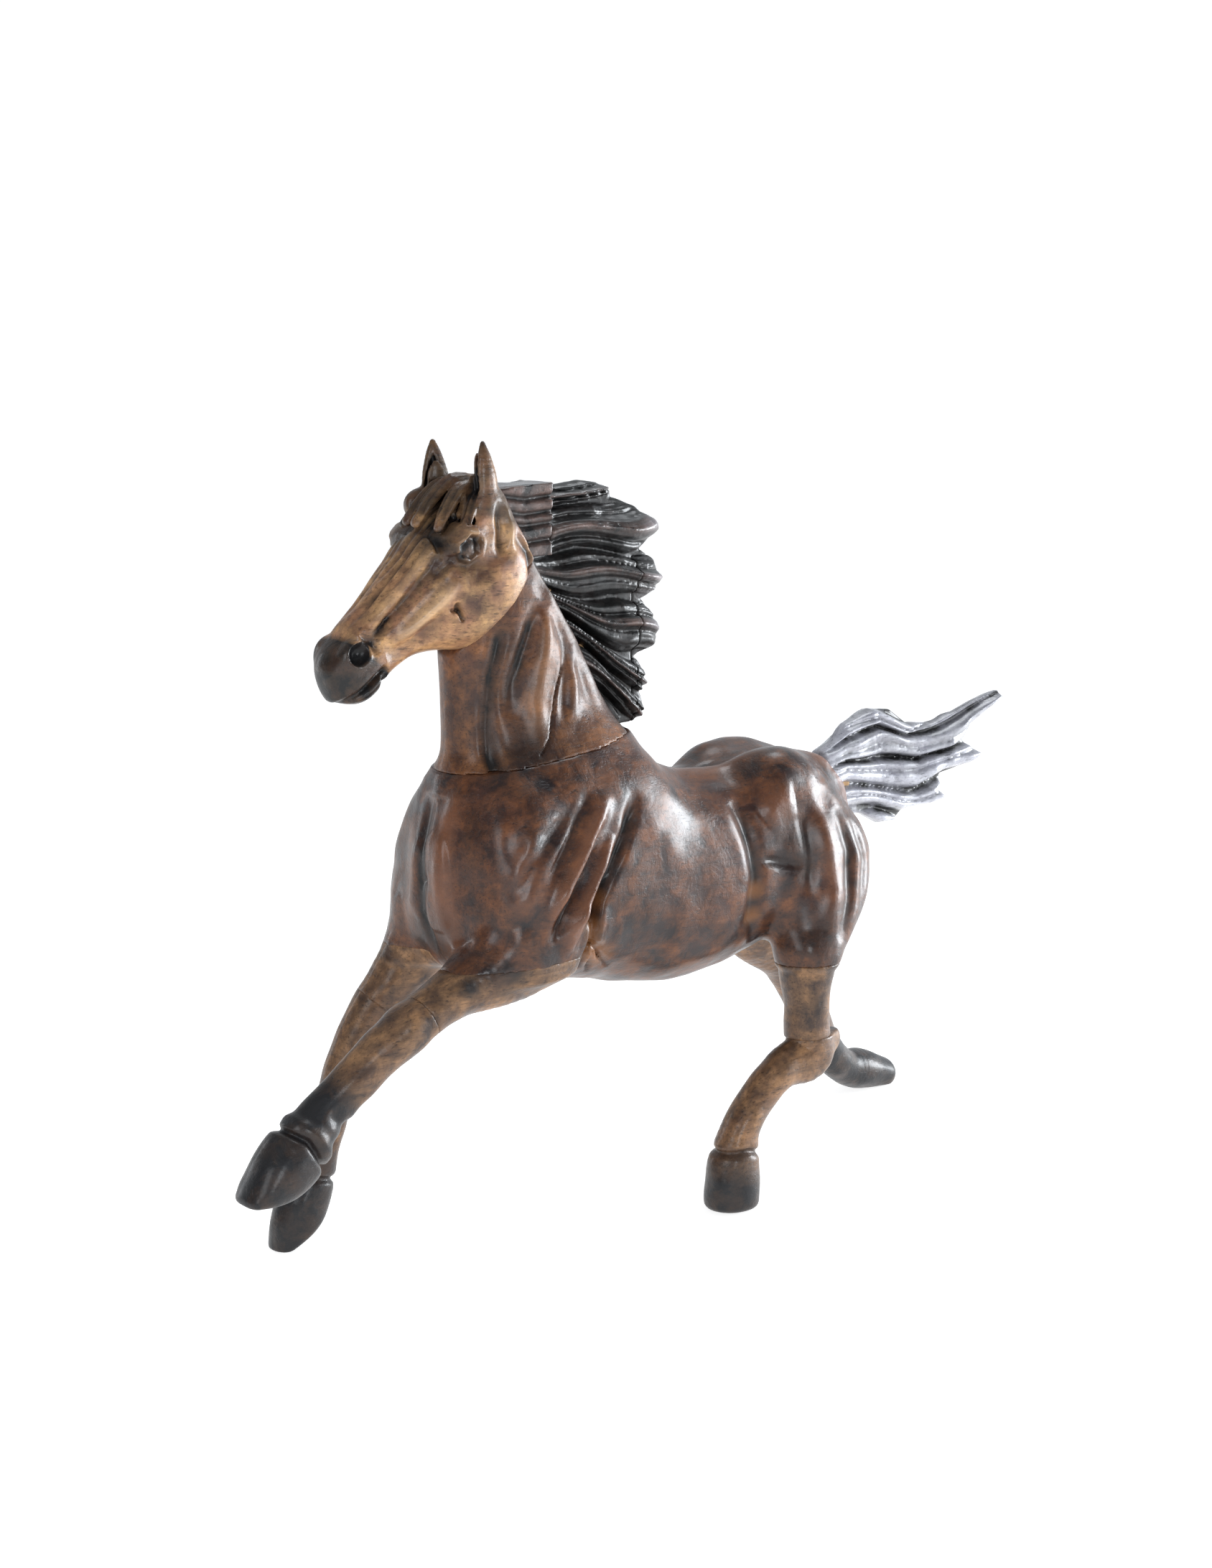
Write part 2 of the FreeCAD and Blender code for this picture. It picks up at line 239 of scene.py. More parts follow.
class Carving:
    """One block: its field, and how deep the tool marks go, which later tints the wood: stain
    gathered in the cuts, with painted shade.
    """

    def __init__(self, low, high, step):
        self.low = np.array(low, np.float32)
        self.step = step * 1.0
        count = [math.ceil((h - l) / self.step) + 1 for l, h in zip(low, high)]
        self.g = Grid([l + self.step * np.arange(n, dtype=np.float32)
                       for l, n in zip(low, count)])
        self.field = self.g.empty()
        self.marks = np.zeros(self.g.shape, np.float32)

    def cut_line(self, points, width, depth, flat="y", side=0, sharp=False, ends=0.25,
                 paint=1.0, where=None):
        """A gouge along a line; a negative depth raises a ridge.  flat is the axis along
        which the tool works, side keeps it to one half of the horse, paint is how much
        of it darkens the wood as gathered stain and painted shade, and where, if given,
        fades it from place to place."""
        across = [k for k in range(3) if "xyz"[k] != flat]
        reach = STROKE_REACH * width
        low = [-1e6] * 3
        high = [1e6] * 3
        for k in across:
            low[k] = min(p[k] for p in points) - reach
            high[k] = max(p[k] for p in points) + reach
        if side > 0:
            low[1] = 0.0
        if side < 0:
            high[1] = 0.0
        cut, s = self.g.part(low, high)
        if 0 in s.shape:
            return
        d, t = lines_distance(points, (s.x, s.y, s.z), across)
        if sharp:
            shape = np.clip(1.0 - d / width, 0.0, 1.0)
        else:
            shape = np.exp(-(d / width) ** 2)
        if ends > 0:
            shape = shape * np.clip(t / ends, 0, 1) ** 0.7
            shape = shape * np.clip((1 - t) / ends, 0, 1) ** 0.7
        if side:
            shape = shape * np.clip(s.y * side / 4.0, 0.0, 1.0)
        if where is not None:
            shape = shape * where(s)
        shape = np.broadcast_to(shape, s.shape) * depth
        self.field[cut] += shape
        self.marks[cut] += shape * paint

    def both(self, points, width, depth, **more):
        """The same gouge on the left side and on the right."""
        for side in (1, -1):
            self.cut_line(points, width, depth, side=side, **more)

    def add(self, shape, k=3.0):
        self.field = blend_in(self.field, shape, k)

    def cut(self, shape, k=1.0, mark=1.0):
        before = self.field
        self.field = -blend_in(-self.field, shape, k)
        self.marks += np.clip(self.field - before, 0.0, 3.0) * mark * (before < 1.0)

    def trim(self, shape, k=0.6):
        self.field = keep(self.field, shape, k)

    def roughen(self, seed, size, depth):
        """Slow unevenness left by the gouge."""
        self.field += noise(self.g, seed, size) * depth


def noise(g, seed, size):
    """Smooth noise from -1 to 1 with features of about the given size."""
    rng = np.random.default_rng(seed)
    table = rng.uniform(-1.0, 1.0, (LATTICE,) * 3).astype(np.float32)
    corner = []
    for axis in g.axes:
        p = (axis + 400.0) / size
        i = np.floor(p).astype(int)
        t = p - i
        ease = (t * t * (3 - 2 * t)).astype(np.float32)
        corner.append((i % LATTICE, (i + 1) % LATTICE, ease))
    (x0, x1, tx), (y0, y1, ty), (z0, z1, tz) = corner
    along = table[x0] + (table[x1] - table[x0]) * tx[:, None, None]
    along = along[:, y0] + (along[:, y1] - along[:, y0]) * ty[None, :, None]
    return along[:, :, z0] + (along[:, :, z1] - along[:, :, z0]) * tz[None, None, :]


# ---------------------------------------------------------------- from grid to mesh
CORNERS = [(i, j, k) for i in (0, 1) for j in (0, 1) for k in (0, 1)]
EDGES = [(a, b) for a in range(8) for b in range(8)
         if a < b and sum(abs(CORNERS[a][n] - CORNERS[b][n]) for n in range(3)) == 1]


def skin(field):
    """Surface of the zero level: one point per crossed cell, one four-sided face per
    crossed grid edge."""
    for axis in range(3):
        edge = [slice(None)] * 3
        for end in (0, -1):
            edge[axis] = end
            field[tuple(edge)] = np.maximum(field[tuple(edge)], 0.3)
    inside = field < 0
    n = [s - 1 for s in field.shape]
    corner = [inside[i:n[0] + i, j:n[1] + j, k:n[2] + k] for i, j, k in CORNERS]
    active = np.logical_or.reduce(corner) & ~np.logical_and.reduce(corner)
    cells = np.argwhere(active)
    index = np.full(n, -1, np.int32)
    index[active] = np.arange(len(cells), dtype=np.int32)
    values = np.stack([field[cells[:, 0] + i, cells[:, 1] + j, cells[:, 2] + k]
                       for i, j, k in CORNERS], axis=1)
    total = np.zeros((len(cells), 3))
    count = np.zeros(len(cells))
    for a, b in EDGES:
        va, vb = values[:, a], values[:, b]
        crossed = (va < 0) != (vb < 0)
        t = np.where(crossed, va / np.where(crossed, va - vb, 1.0), 0.0)
        ca, cb = np.array(CORNERS[a], float), np.array(CORNERS[b], float)
        total += (ca + t[:, None] * (cb - ca)) * crossed[:, None]
        count += crossed
    points = cells + total / count[:, None]
    faces = []
    unit = np.eye(3, dtype=int)
    for axis, u, v in ((0, 1, 2), (1, 2, 0), (2, 0, 1)):
        edge = np.argwhere(np.diff(inside, axis=axis))
        edge = edge[(edge[:, u] > 0) & (edge[:, v] > 0)
                    & (edge[:, u] < field.shape[u] - 1) & (edge[:, v] < field.shape[v] - 1)]
        ring = [edge - unit[u] - unit[v], edge - unit[v], edge, edge - unit[u]]
        ring = np.stack([index[r[:, 0], r[:, 1], r[:, 2]] for r in ring], axis=1)
        outward = inside[edge[:, 0], edge[:, 1], edge[:, 2]]
        ring[~outward] = ring[~outward][:, ::-1]
        faces.append(ring)
    return points, np.concatenate(faces)


def sample(values, points):
    """Values of a grid array at places given in grid steps, between its points."""
    base = np.floor(points).astype(int)
    base = np.minimum(base, np.array(values.shape) - 2)
    t = points - base
    result = 0.0
    for i, j, k in CORNERS:
        weight = (t[:, 0] if i else 1 - t[:, 0]) * (t[:, 1] if j else 1 - t[:, 1])
        weight = weight * (t[:, 2] if k else 1 - t[:, 2])
        result = result + weight * values[base[:, 0] + i, base[:, 1] + j, base[:, 2] + k]
    return result


def put(name, data):
    """A new object in the scene."""
    item = bpy.data.objects.new(name, data)
    bpy.context.scene.collection.objects.link(item)
    return item


def mesh_piece(carving, node, material, tint):
    """The finished piece of wood: mesh, paint values, material and its place in the
    frame."""
    points, faces = skin(carving.field)
    mesh = bpy.data.meshes.new(node + "_carved")
    mm = points * carving.step + carving.low
    mesh.vertices.add(len(points))
    mesh.vertices.foreach_set("co", ((mm * MM) + np.array(PLACE)).ravel())
    mesh.loops.add(len(faces) * 4)
    mesh.loops.foreach_set("vertex_index", faces.ravel())
    mesh.polygons.add(len(faces))
    mesh.polygons.foreach_set("loop_start", np.arange(0, len(faces) * 4, 4))
    mesh.polygons.foreach_set("use_smooth", np.ones(len(faces), bool))
    mesh.update(calc_edges=True)
    mesh.validate()
    carve = mesh.attributes.new("carve", "FLOAT", "POINT")
    carve.data.foreach_set("value", sample(carving.marks, points).astype(np.float32))
    # per-point stain values: dark stain, and on head, neck and mane also painted shade and painted
    # highlight
    stain_and_painted_light = mesh.attributes.new("stain_and_painted_light", "FLOAT", "POINT")
    amount = tint(mm[:, 0], mm[:, 1], mm[:, 2])
    stain_and_painted_light.data.foreach_set("value", np.clip(amount, -1, 1).astype(np.float32))
    mesh.materials.append(material)
    piece = put(node + "_carved", mesh)
    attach(piece, "root")
    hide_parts(node)


# ---------------------------------------------------------------- the forms of the horse
BODY = [(78, 92, 118, 8), (74.5, 84, 127, 18), (66, 77, 136, 25), (52, 74, 141, 26.5),
        (34, 72, 144, 26), (16, 68, 140, 24.5), (2, 66, 128.5, 24), (-14, 67, 125, 23.5),
        (-30, 71, 126, 22.5), (-46, 77, 127.5, 21), (-60, 84, 124, 17),
        (-69, 92, 116, 9)]
NECK = [(43, 0, 128, 30, 17), (43, 0, 138, 29, 16), (45.5, 0, 150, 26.5, 13.5),
        (49, 0, 163, 23.5, 12.5), (53, 0, 176, 20, 11.5), (57, 0, 190, 16, 10.5),
        (59, 0, 202, 12, 9)]
THIGH_LEFT = [(-46, 9, 118, 10, 8), (-49, 12, 106, 19, 12.5), (-50.5, 14, 94, 20, 13),
              (-48, 17, 81, 16.5, 12), (-44, 19.5, 73, 12, 10), (-41.5, 21, 68, 9.4, 9)]
THIGH_RIGHT = [(-42, -10, 121, 9, 7), (-47, -12, 107, 18, 12.5), (-52, -14, 93, 19, 13),
               (-57.5, -17, 80, 16, 11.5), (-62, -20, 68, 12.5, 9.4)]
SHOULDER_LEFT = [(44, 8, 127, 10, 8), (52, 11, 116, 17, 13), (57, 14, 104, 17, 13),
                 (59, 16, 92, 16, 11.5), (60, 17, 80, 15, 10)]
SHOULDER_RIGHT = [(46, -8, 127, 10, 8), (55, -12, 116, 17, 14), (60, -15, 104, 16.5, 14),
                  (63, -17, 92, 14, 12.5), (64, -18.5, 80, 12.5, 10)]

LEFT_FORE = [(46, 19, 93, 12, 9), (60, 18, 87, 12.4, 9), (72, 17.2, 82, 9.4, 8.4),
             (82, 16.5, 78.5, 7, 7), (92.5, 16, 74, 6.2, 6.2), (99, 16, 70.5, 7, 6.2),
             (109, 15.5, 63.5, 6.2, 5.3), (119, 15, 56.3, 6.3, 5.3),
             (126, 15, 50, 6.6, 5.8), (131, 15, 45, 8.8, 7.0),
             (135.5, 15, 41.5, 8.2, 7.8), (140.5, 15, 38, 5.6, 7.4),
             (144.6, 15, 35.8, 2.8, 5.6)]
RIGHT_FORE = [(52, -16.5, 95, 11, 9.2), (63, -18.5, 86, 10.5, 8.6),
              (72, -21.5, 76, 8, 7.4), (79, -24, 67, 6.6, 6.4), (84, -25.7, 58, 6.2, 5.8),
              (88.7, -27.7, 46.5, 5.4, 5.2), (92.3, -29.5, 33, 5, 5),
              (95, -31, 24, 5.9, 5.6), (98, -32, 15, 7.2, 6.6),
              (100.6, -32.5, 7.5, 7.3, 7.0), (102.6, -33, 1, 6.2, 6.4),
              (103.5, -33, -3, 5.2, 5.6)]
LEFT_HIND_TOP = [(-41.6, 21, 70, 9.2, 9), (-41, 21.4, 60, 7.2, 7.2),
                 (-41, 21.8, 53, 6.6, 6.6), (-41.4, 22, 44, 7.4, 6.2)]
LEFT_HIND = [(-42.4, 22, 45, 7.6, 6.2), (-41.2, 22, 40.3, 7.9, 6.2),
             (-31.0, 21.7, 37.4, 5.7, 5.6), (-22.4, 21.2, 31.0, 5.4, 5.4),
             (-16.2, 21, 22.6, 5.9, 5.5), (-13.6, 21, 14, 7.8, 6.6),
             (-12.6, 21, 5, 8.5, 7.4), (-12.8, 21, -1, 8, 7), (-12.8, 21, -6, 7, 6.4)]
RIGHT_HIND = [(-56, -18.5, 74, 13, 9.5), (-62, -20, 68, 12, 9), (-71, -22, 59.5, 9, 7.8),
              (-80, -24.5, 50, 7.4, 6.6), (-87.5, -27, 40, 7.2, 6.2),
              (-94.5, -29, 30, 6.2, 5.5), (-101, -31, 21.5, 5.5, 5.2),
              (-107.5, -33, 14.5, 5.8, 5.5), (-115, -35.2, 9.5, 5.6, 5.8),
              (-123, -37, 7, 6.8, 7), (-134, -38.5, 3.6, 5.4, 7)]

# seam lines, as in the CAD model
MANE_SEAM = [(59.0, 208.0), (57.0, 200.0), (49.0, 187.0),
             (34.0, 166.0), (27.0, 153.0), (18.0, 140.0)]
FORELEG_SEAM_Z = 84.0
HIND_SEAM_Z = 68.0
HOCK_SEAM_Z = 46.0
TAIL_SEAM_X = -66.0
SEAM_OVERLAP = 0.3  # pieces that part inside one form reach this far past their seam
SEAM_EASE = 0.15    # rounding of an edge along a seam


def ahead(x, y, z, point, normal):
    """Distance of a place from a plane, along the plane's normal."""
    n = np.array(normal, float)
    n /= np.linalg.norm(n)
    return (x - point[0]) * n[0] + (y - point[1]) * n[1] + (z - point[2]) * n[2]


def plane(g, point, normal):
    return ahead(g.x, g.y, g.z, point, normal)


def above_neck_seam(g):
    return plane(g, (18, 0, 140), (7, 0, 57))


def above_head_seam(g):
    return plane(g, (61, 0, 177.5), (25, 0, 22))


def behind_mane_seam(g):
    """Distance behind the line where the mane meets the neck; negative in front."""
    zs = [p[1] for p in MANE_SEAM][::-1]
    xs = [p[0] for p in MANE_SEAM][::-1]
    seam = np.interp(g.axes[2], zs, xs)[None, None, :]
    return (seam - g.x) * 0.82


def trunk(g):
    """Barrel, chest, shoulders, thighs and the foot of the neck as one smooth form."""
    form = along_x(g, BODY)
    form = blend_in(form, along_z(g, NECK), 7.0)
    for muscle in (THIGH_LEFT, THIGH_RIGHT, SHOULDER_LEFT, SHOULDER_RIGHT):
        form = blend_in(form, along_z(g, muscle), 5.0)
    return form


def carve_torso():
    c = Carving((-77, -38, 60), (84, 38, 147), 0.70)
    g = c.g
    c.field = trunk(g)
    c.add(ball(g, (-37.5, -11, 118.4), (18, 9, 11.6)), 7.0)
    c.add(ball(g, (-37, 11, 119), (14, 9, 11)), 6.0)
    for stations, fillet in ((LEFT_FORE, 4.0), (RIGHT_FORE, 4.0), (LEFT_HIND_TOP, 3.0),
                             (RIGHT_HIND, 3.0)):
        c.add(limb(g, stations), fillet)
    carve_shoulders(c)
    carve_quarters(c)
    leg_roughen(c)
    c.roughen(12, 15.0, 0.35)
    c.trim(above_neck_seam(g) - 0.05, SEAM_EASE)
    for side in (1, -1):
        c.trim(-foreleg_room(g, side) - SEAM_OVERLAP, 0.12)
    # the belly in front of the thighs hangs lower than their seam
    hanging = np.where(g.x > -28, -9.0, 0.0)
    c.trim(HIND_SEAM_Z - SEAM_OVERLAP - g.z + hanging, 0.12)
    socket = np.maximum(np.maximum(g.x - TAIL_SEAM_X, np.abs(g.y) - 6.0), 99 - g.z)
    c.trim(-socket, 0.4)
    return c


def foreleg_room(g, side):
    """Negative in the room that belongs to a foreleg, under the shoulder seam."""
    room = np.maximum(g.z - FORELEG_SEAM_Z, 6.0 - side * g.y)
    return np.maximum(room, 43.0 - g.x)


def carve_shoulders(c):
    """Long gouged ridges of the shoulder, the chest crease and the cut at the elbow."""
    c.both([(25, 22, 126), (30, 24, 117), (36, 26, 107), (43, 25, 96), (50, 26, 86)],
           2.2, 2.6, ends=0.2, paint=0.6)
    c.both([(36, 23, 127), (45, 25, 116), (54, 26, 105), (60, 27, 96)], 2.4, -2.6)
    c.both([(36, 25, 116), (43, 26, 106), (50, 26, 97), (56, 27, 89)], 1.9, -2.4)
    c.both([(40, 24, 120), (48, 26, 108), (55, 26, 98), (59, 27, 90)], 1.3, 1.8)
    c.both([(42, 24, 128), (52, 26, 116), (60, 26, 106)], 1.2, 1.2)
    c.both([(47, 24, 125), (56, 25, 119), (64, 25, 112), (70, 22, 102)], 2.2, 1.2)
    c.both([(62, 24, 120), (67, 24, 108), (68, 24, 96)], 4.0, -1.2)
    c.both([(70, 14, 130), (76, 14, 119), (77, 12, 108), (78, 11, 98)], 3.4, 1.6, paint=0.4)
    c.cut_line([(77, -2, 126), (76, -2, 110), (73, -2, 95), (68, -1, 80)], 2.0, 4.2, flat="x",
               ends=0.3, paint=0.5)
    c.cut_line([(76, 7, 130), (78, 6, 111), (78, 7, 97), (74, 9, 84)], 3.6, -2.6, flat="x",
               ends=0.12)
    c.cut_line([(76, -9, 128), (78, -8, 111), (78, -9, 97), (74, -9, 86)], 3.4, -1.4,
               flat="x")
    elbow = [(39, 25, 106), (42, 26, 100), (42, 25, 92), (44, 24, 84), (43, 23, 78)]
    c.both(elbow, 1.8, 3.4, ends=0.15)
    for end in ((36, 84), (34, 80), (30, 77), (36, 76)):
        c.both([(43, 22, 88), (end[0], 20, end[1])], 0.9, 1.1, sharp=True)
    c.both([(48, 27, 99), (50, 27, 92), (55, 27, 86)], 2.0, -1.4)


def carve_quarters(c):
    """Flank hollow, the haunch muscles and the crease above the gaskin."""
    c.both([(-15, 20, 118), (-18, 21, 108), (-20, 23, 96), (-19, 22, 84), (-24, 18, 76)],
           3.0, 2.4, paint=0.6)
    c.both([(-22, 23, 101), (-30, 23, 99), (-37, 24, 97)], 1.6, 1.5)
    c.both([(-24, 18, 112), (-30, 18, 116), (-36, 18, 117)], 5.0, -1.6)
    c.both([(-43, 17, 119), (-45, 24, 106), (-46, 27, 90), (-42, 29, 78)], 3.0, -1.2)
    c.both([(-38, 20, 112), (-39, 24, 100), (-38, 26, 88)], 2.4, 1.2)
    c.both([(-51, 20, 112), (-54, 26, 100), (-52, 28, 86), (-47, 29, 74)], 2.2, 1.3)
    c.both([(-58, 20, 108), (-61, 25, 96), (-57, 27, 82)], 1.6, 0.9)


def carve_neck():
    """Front panel between two cut edges, then long ridges running up to the jaw."""
    c = Carving((8, -23, 125), (80, 23, 206), 0.5)
    g = c.g
    c.field = trunk(g)
    c.both([(65, 9, 130), (65, 9, 146), (64, 10, 160), (61, 10, 172)], 1.8, 1.5, ends=0.1)
    c.both([(60, 10, 148), (58, 10, 158), (53, 11, 170), (50, 11, 179)], 2.4, 1.7, ends=0.3)
    c.both([(52, 14, 138), (52, 12, 152), (48, 12, 168), (44, 11, 182)], 3.0, -1.3)
    c.both([(44, 15, 144), (42, 13, 156), (41, 12, 168)], 1.6, 0.8)
    c.both([(40, 15, 146), (38, 13, 156), (38, 12, 166)], 2.0, -0.9)
    c.both([(30, 14, 145), (35, 12, 157), (44, 10, 172), (50, 10, 184)], 2.2, 0.8)
    crack = [(53.5, 12, 137), (49, 13, 142), (46.5, 13, 149), (45.5, 13, 153), (42, 12, 161)]
    c.cut_line(crack, 0.5, 1.4, side=1, sharp=True, ends=0.1)
    c.roughen(21, 12.0, 0.4)
    c.roughen(22, 4.0, 0.12)
    c.trim(-above_neck_seam(g) - 0.05, SEAM_EASE)
    c.trim(above_head_seam(g) - 0.1, SEAM_EASE)
    c.trim(behind_mane_seam(g))
    return c


# head profile in its own axes: s runs down the face, u stands square to it
HEAD_BASE = (62.0, 190.0)
HEAD_COS, HEAD_SIN = 0.812, 0.584
HEAD_TIP = 35.0     # about the same slope, in degrees
HEAD_TOP = [(-16, 11.5), (-10, 15), (0, 16.4), (10.5, 16.2), (22.5, 15), (34.5, 13.4),
            (46, 11.4), (52.7, 8.9), (56, 6.2), (57.8, 2)]
HEAD_LOW = [(-16, -9), (-6, -12.5), (6.7, -16.1), (15, -17), (21, -14.2), (26, -10.2),
            (32, -7.0), (40.7, -5.6), (48, -6.4), (53, -5.2), (57, -2)]
HEAD_HALF = [(-16, 8), (-10, 11), (0, 13.6), (8, 14.2), (16, 13), (24, 10.4),
             (30, 8.8), (40, 7.2), (47, 7.4), (53, 6.6), (57.8, 3)]


def head_axes(x, z):
    """How far down the face a place is, and how far out from it."""
    x = x - HEAD_BASE[0]
    z = z - HEAD_BASE[1]
    return x * HEAD_COS - z * HEAD_SIN, x * HEAD_SIN + z * HEAD_COS


def head_point(s, y, u):
    """A place given down the face, across it and square to it."""
    return (HEAD_BASE[0] + s * HEAD_COS + u * HEAD_SIN, y,
            HEAD_BASE[1] - s * HEAD_SIN + u * HEAD_COS)


def table_on(values, rows):
    """A smooth table looked up at every value of an array."""
    fine = np.linspace(rows[0][0], rows[-1][0], 240)
    curve = smooth_table(rows, fine)[:, 0]
    return np.interp(values, fine, curve).astype(np.float32)


def skull(g):
    s, u = head_axes(g.x, g.z)
    top, low, half = (table_on(s, t) for t in (HEAD_TOP, HEAD_LOW, HEAD_HALF))
    # the bridge of the face is narrower than the cheek
    rise = np.clip((u - (top + low) / 2) / ((top - low) / 2), -1, 1)
    narrow = 1.0 - 0.17 * np.clip(rise, 0, 1) ** 2 * np.clip((s - 11) / 10, 0, 1)
    cap = np.maximum(s - 55.5, 0) + np.maximum(-14 - s, 0)
    return oval(u - (top + low) / 2, g.y, cap, (top - low) / 2, half * narrow, 2.8,
                nose=2.4)


def ear(g, side, lean):
    stations = [(65 + lean, side * 7.8, 198, 4.8, 4.2), (65.6 + lean, side * 8.6, 204, 4.6, 4.0),
                (66 + lean, side * 9.2, 210, 3.9, 3.4), (66.3 + lean, side * 9.6, 215.5, 2.5, 2.2),
                (66.5 + lean, side * 9.8, 219.6, 0.8, 0.7)]
    return limb(g, stations, each=4, margin=5)


def carve_head():
    c = Carving((42, -17, 145), (115, 17, 222), 0.4)
    g = c.g
    c.field = skull(g)
    for side in (1, -1):
        # brow, in two mounds
        c.add(egg_on_head(g, (7, side * 10.4, 11.6), (7.5, 4.2, 4.8)), 2.5)
        c.add(egg_on_head(g, (-4, side * 8.6, 13.0), (7.5, 4.4, 4.4)), 3.0)
    c.add(egg_on_head(g, (5, 0, 12.5), (13, 10, 4.6)), 4)
    carve_eyes(c)
    c.add(ball(g, (70, -12, 203), (5.5, 4.4, 4.6)), 2.0)
    c.add(ball(g, (67, 8.5, 204), (5.0, 4.0, 3.6)), 2.0)
    carve_cheeks(c)
    carve_face(c)
    carve_muzzle(c)
    for side in (1, -1):
        c.add(ear(g, side, 0.2 if side > 0 else 1.6), 1.6)
    carve_ears(c)
    carve_forelock(c)
    c.roughen(31, 9.0, 0.25)
    c.roughen(32, 3.0, 0.08)
    c.trim(-above_head_seam(g) - 0.1, SEAM_EASE)
    c.trim(behind_mane_seam(g))
    return c


def egg_on_head(g, place, radii):
    """An egg form placed in the head's own axes and tipped like the face."""
    return ball(g, head_point(*place), radii, HEAD_TIP)


def on_head(c, points, width, depth, **more):
    """A gouge on both sides of the head, given in the head's own axes."""
    c.both([head_point(*p) for p in points], width, depth, **more)


def carve_eyes(c):
    """Socket, eyeball, both lids, the fold over them and the corner by the nose."""
    g = c.g
    for side in (1, -1):
        c.cut(egg_on_head(g, (9.6, side * 16.0, 9.8), (6.6, 4.6, 5.2)), 1.4)
        c.add(egg_on_head(g, (8.2, side * 11.9, 10.2), (3.2, 2.7, 3.0)), 0.3)
    on_head(c, [(12.6, 13, 10.8), (10.4, 13, 13.6), (6.4, 13, 14.2), (3.4, 13, 11.4)],
            1.1, -2.5, ends=0.12, paint=0.4)
    on_head(c, [(12.2, 13, 10.2), (10, 13, 7.2), (6, 13, 6.8), (3.4, 13, 9.6)],
            0.9, -1.5, ends=0.12, paint=0.4)
    on_head(c, [(14, 13, 12.6), (10.5, 13, 16.2), (5, 13, 16.6), (1.5, 13, 13.5)],
            1.1, 1.5, ends=0.15)
    on_head(c, [(12.2, 13, 10.2), (15.0, 13, 9.2), (19, 12, 8.8)], 0.8, 0.9, ends=0.1)


def carve_cheeks(c):
    """Round cheek, the crest of the face, the hollow below it and two nicks."""
    for side in (1, -1):
        c.add(egg_on_head(c.g, (3, side * 6.2, -4.5), (11.5, 7.6, 11.0)), 6.5)
    on_head(c, [(-6, 13, 4), (-7.5, 13, -4), (-4, 13, -11), (3, 13, -15)], 1.5, 1.6)
    on_head(c, [(15, 12, 5), (22, 11, 3.2), (30, 9, 2.2), (38, 8, 2)], 1.9, -1.5)
    on_head(c, [(21, 10, -1.5), (28, 9, -1.2), (35, 8, -0.6), (41, 8, 0)], 2.2, 1.2,
            paint=0.5)
    on_head(c, [(18.4, 12, -0.6), (18.8, 12, -4.6)], 1.1, 1.8, sharp=True, ends=0)
    on_head(c, [(20.2, 12, -0.8), (18.6, 12, -2.4)], 0.8, 1.2, sharp=True, ends=0)
    on_head(c, [(13.5, 13, 4.6), (6, 13, 3.4), (-1, 13, 3.8), (-5, 13, 6)], 2.8, 0.8,
            paint=0.2)


def carve_face(c):
    """Grooves at the edges of the face, then long gouge lines down the front of it."""
    on_head(c, [(9, 9, 14), (18, 9, 10.5), (28, 8, 8.6), (38, 7, 7), (44, 7, 6.6)], 1.5, 1.5)
    on_head(c, [(12, 9, 16), (20, 8, 13.5), (30, 7, 11.4), (40, 6, 9.4)], 1.7, -0.8)
    for y, start, end, depth in ((-5.6, 5, 34, 0.6), (-3.0, 10, 42, 0.8),
                                 (0.6, 8, 30, 0.7), (3.4, 5, 44, 1.4), (6.0, 12, 40, 0.9)):
        middle = (start + end) / 2
        line = [(start, y * 1.15, 16), (middle, y * 0.9, 14), (end, y * 0.6, 12)]
        c.cut_line([head_point(*p) for p in line], 0.85, depth, flat="z", ends=0.3,
                   where=lambda s: np.clip(head_axes(s.x, s.z)[1] / 3, 0, 1))


def carve_muzzle(c):
    """Nostrils with raised rims, the mouth line, the lips and the chin."""
    g = c.g
    c.add(egg_on_head(g, (49.8, 0, 5.4), (5.4, 7.2, 4.6)), 2.0)
    c.add(egg_on_head(g, (48.8, 0, -2.2), (5.6, 6.2, 4.0)), 1.8)
    for side in (1, -1):
        c.add(egg_on_head(g, (47.5, side * 5.2, 6.2), (5.0, 3.4, 4.4)), 1.2)
        # mark=2 doubles the dark in the nostril hole: painted shade in it
        c.cut(egg_on_head(g, (46.8, side * 8.0, 6.6), (3.2, 3.6, 2.8)), 0.5, mark=2)
    on_head(c, [(58, 4, -2.2), (52, 7, -2.0), (46, 8, -1.8), (42, 8, -2.0)], 0.9, 2.0,
            ends=0.1)
    on_head(c, [(43, 7, -5), (45.5, 6, -3.6)], 1.4, 1.0)
    on_head(c, [(43.5, 7, 9.6), (42, 8, 6), (42.5, 8, 2.5)], 1.2, 1.2)


def carve_ears(c):
    """The cup of each ear, which faces forward and outward, and the ridge behind it."""
    g = c.g
    for side in (1, -1):
        line = [(69.0, side * 8.5, 203), (68.8, side * 9.4, 209), (68.3, side * 9.6, 216)]
        cup = [p + (r, r) for p, r in zip(line, (1.7, 1.9, 0.6))]
        c.cut(limb(g, cup, each=3, margin=4), 0.5)
        c.cut(ball(g, (71.0, side * 9.5, 198.5), (2.6, 3.0, 2.6)), 1.2)
    c.both([(61, 11, 206), (59.5, 11, 199), (61, 12, 192)], 1.5, -1.3)
    c.both([(64, 12, 205), (63.3, 12, 197), (64.5, 12, 190)], 1.2, 1.1)


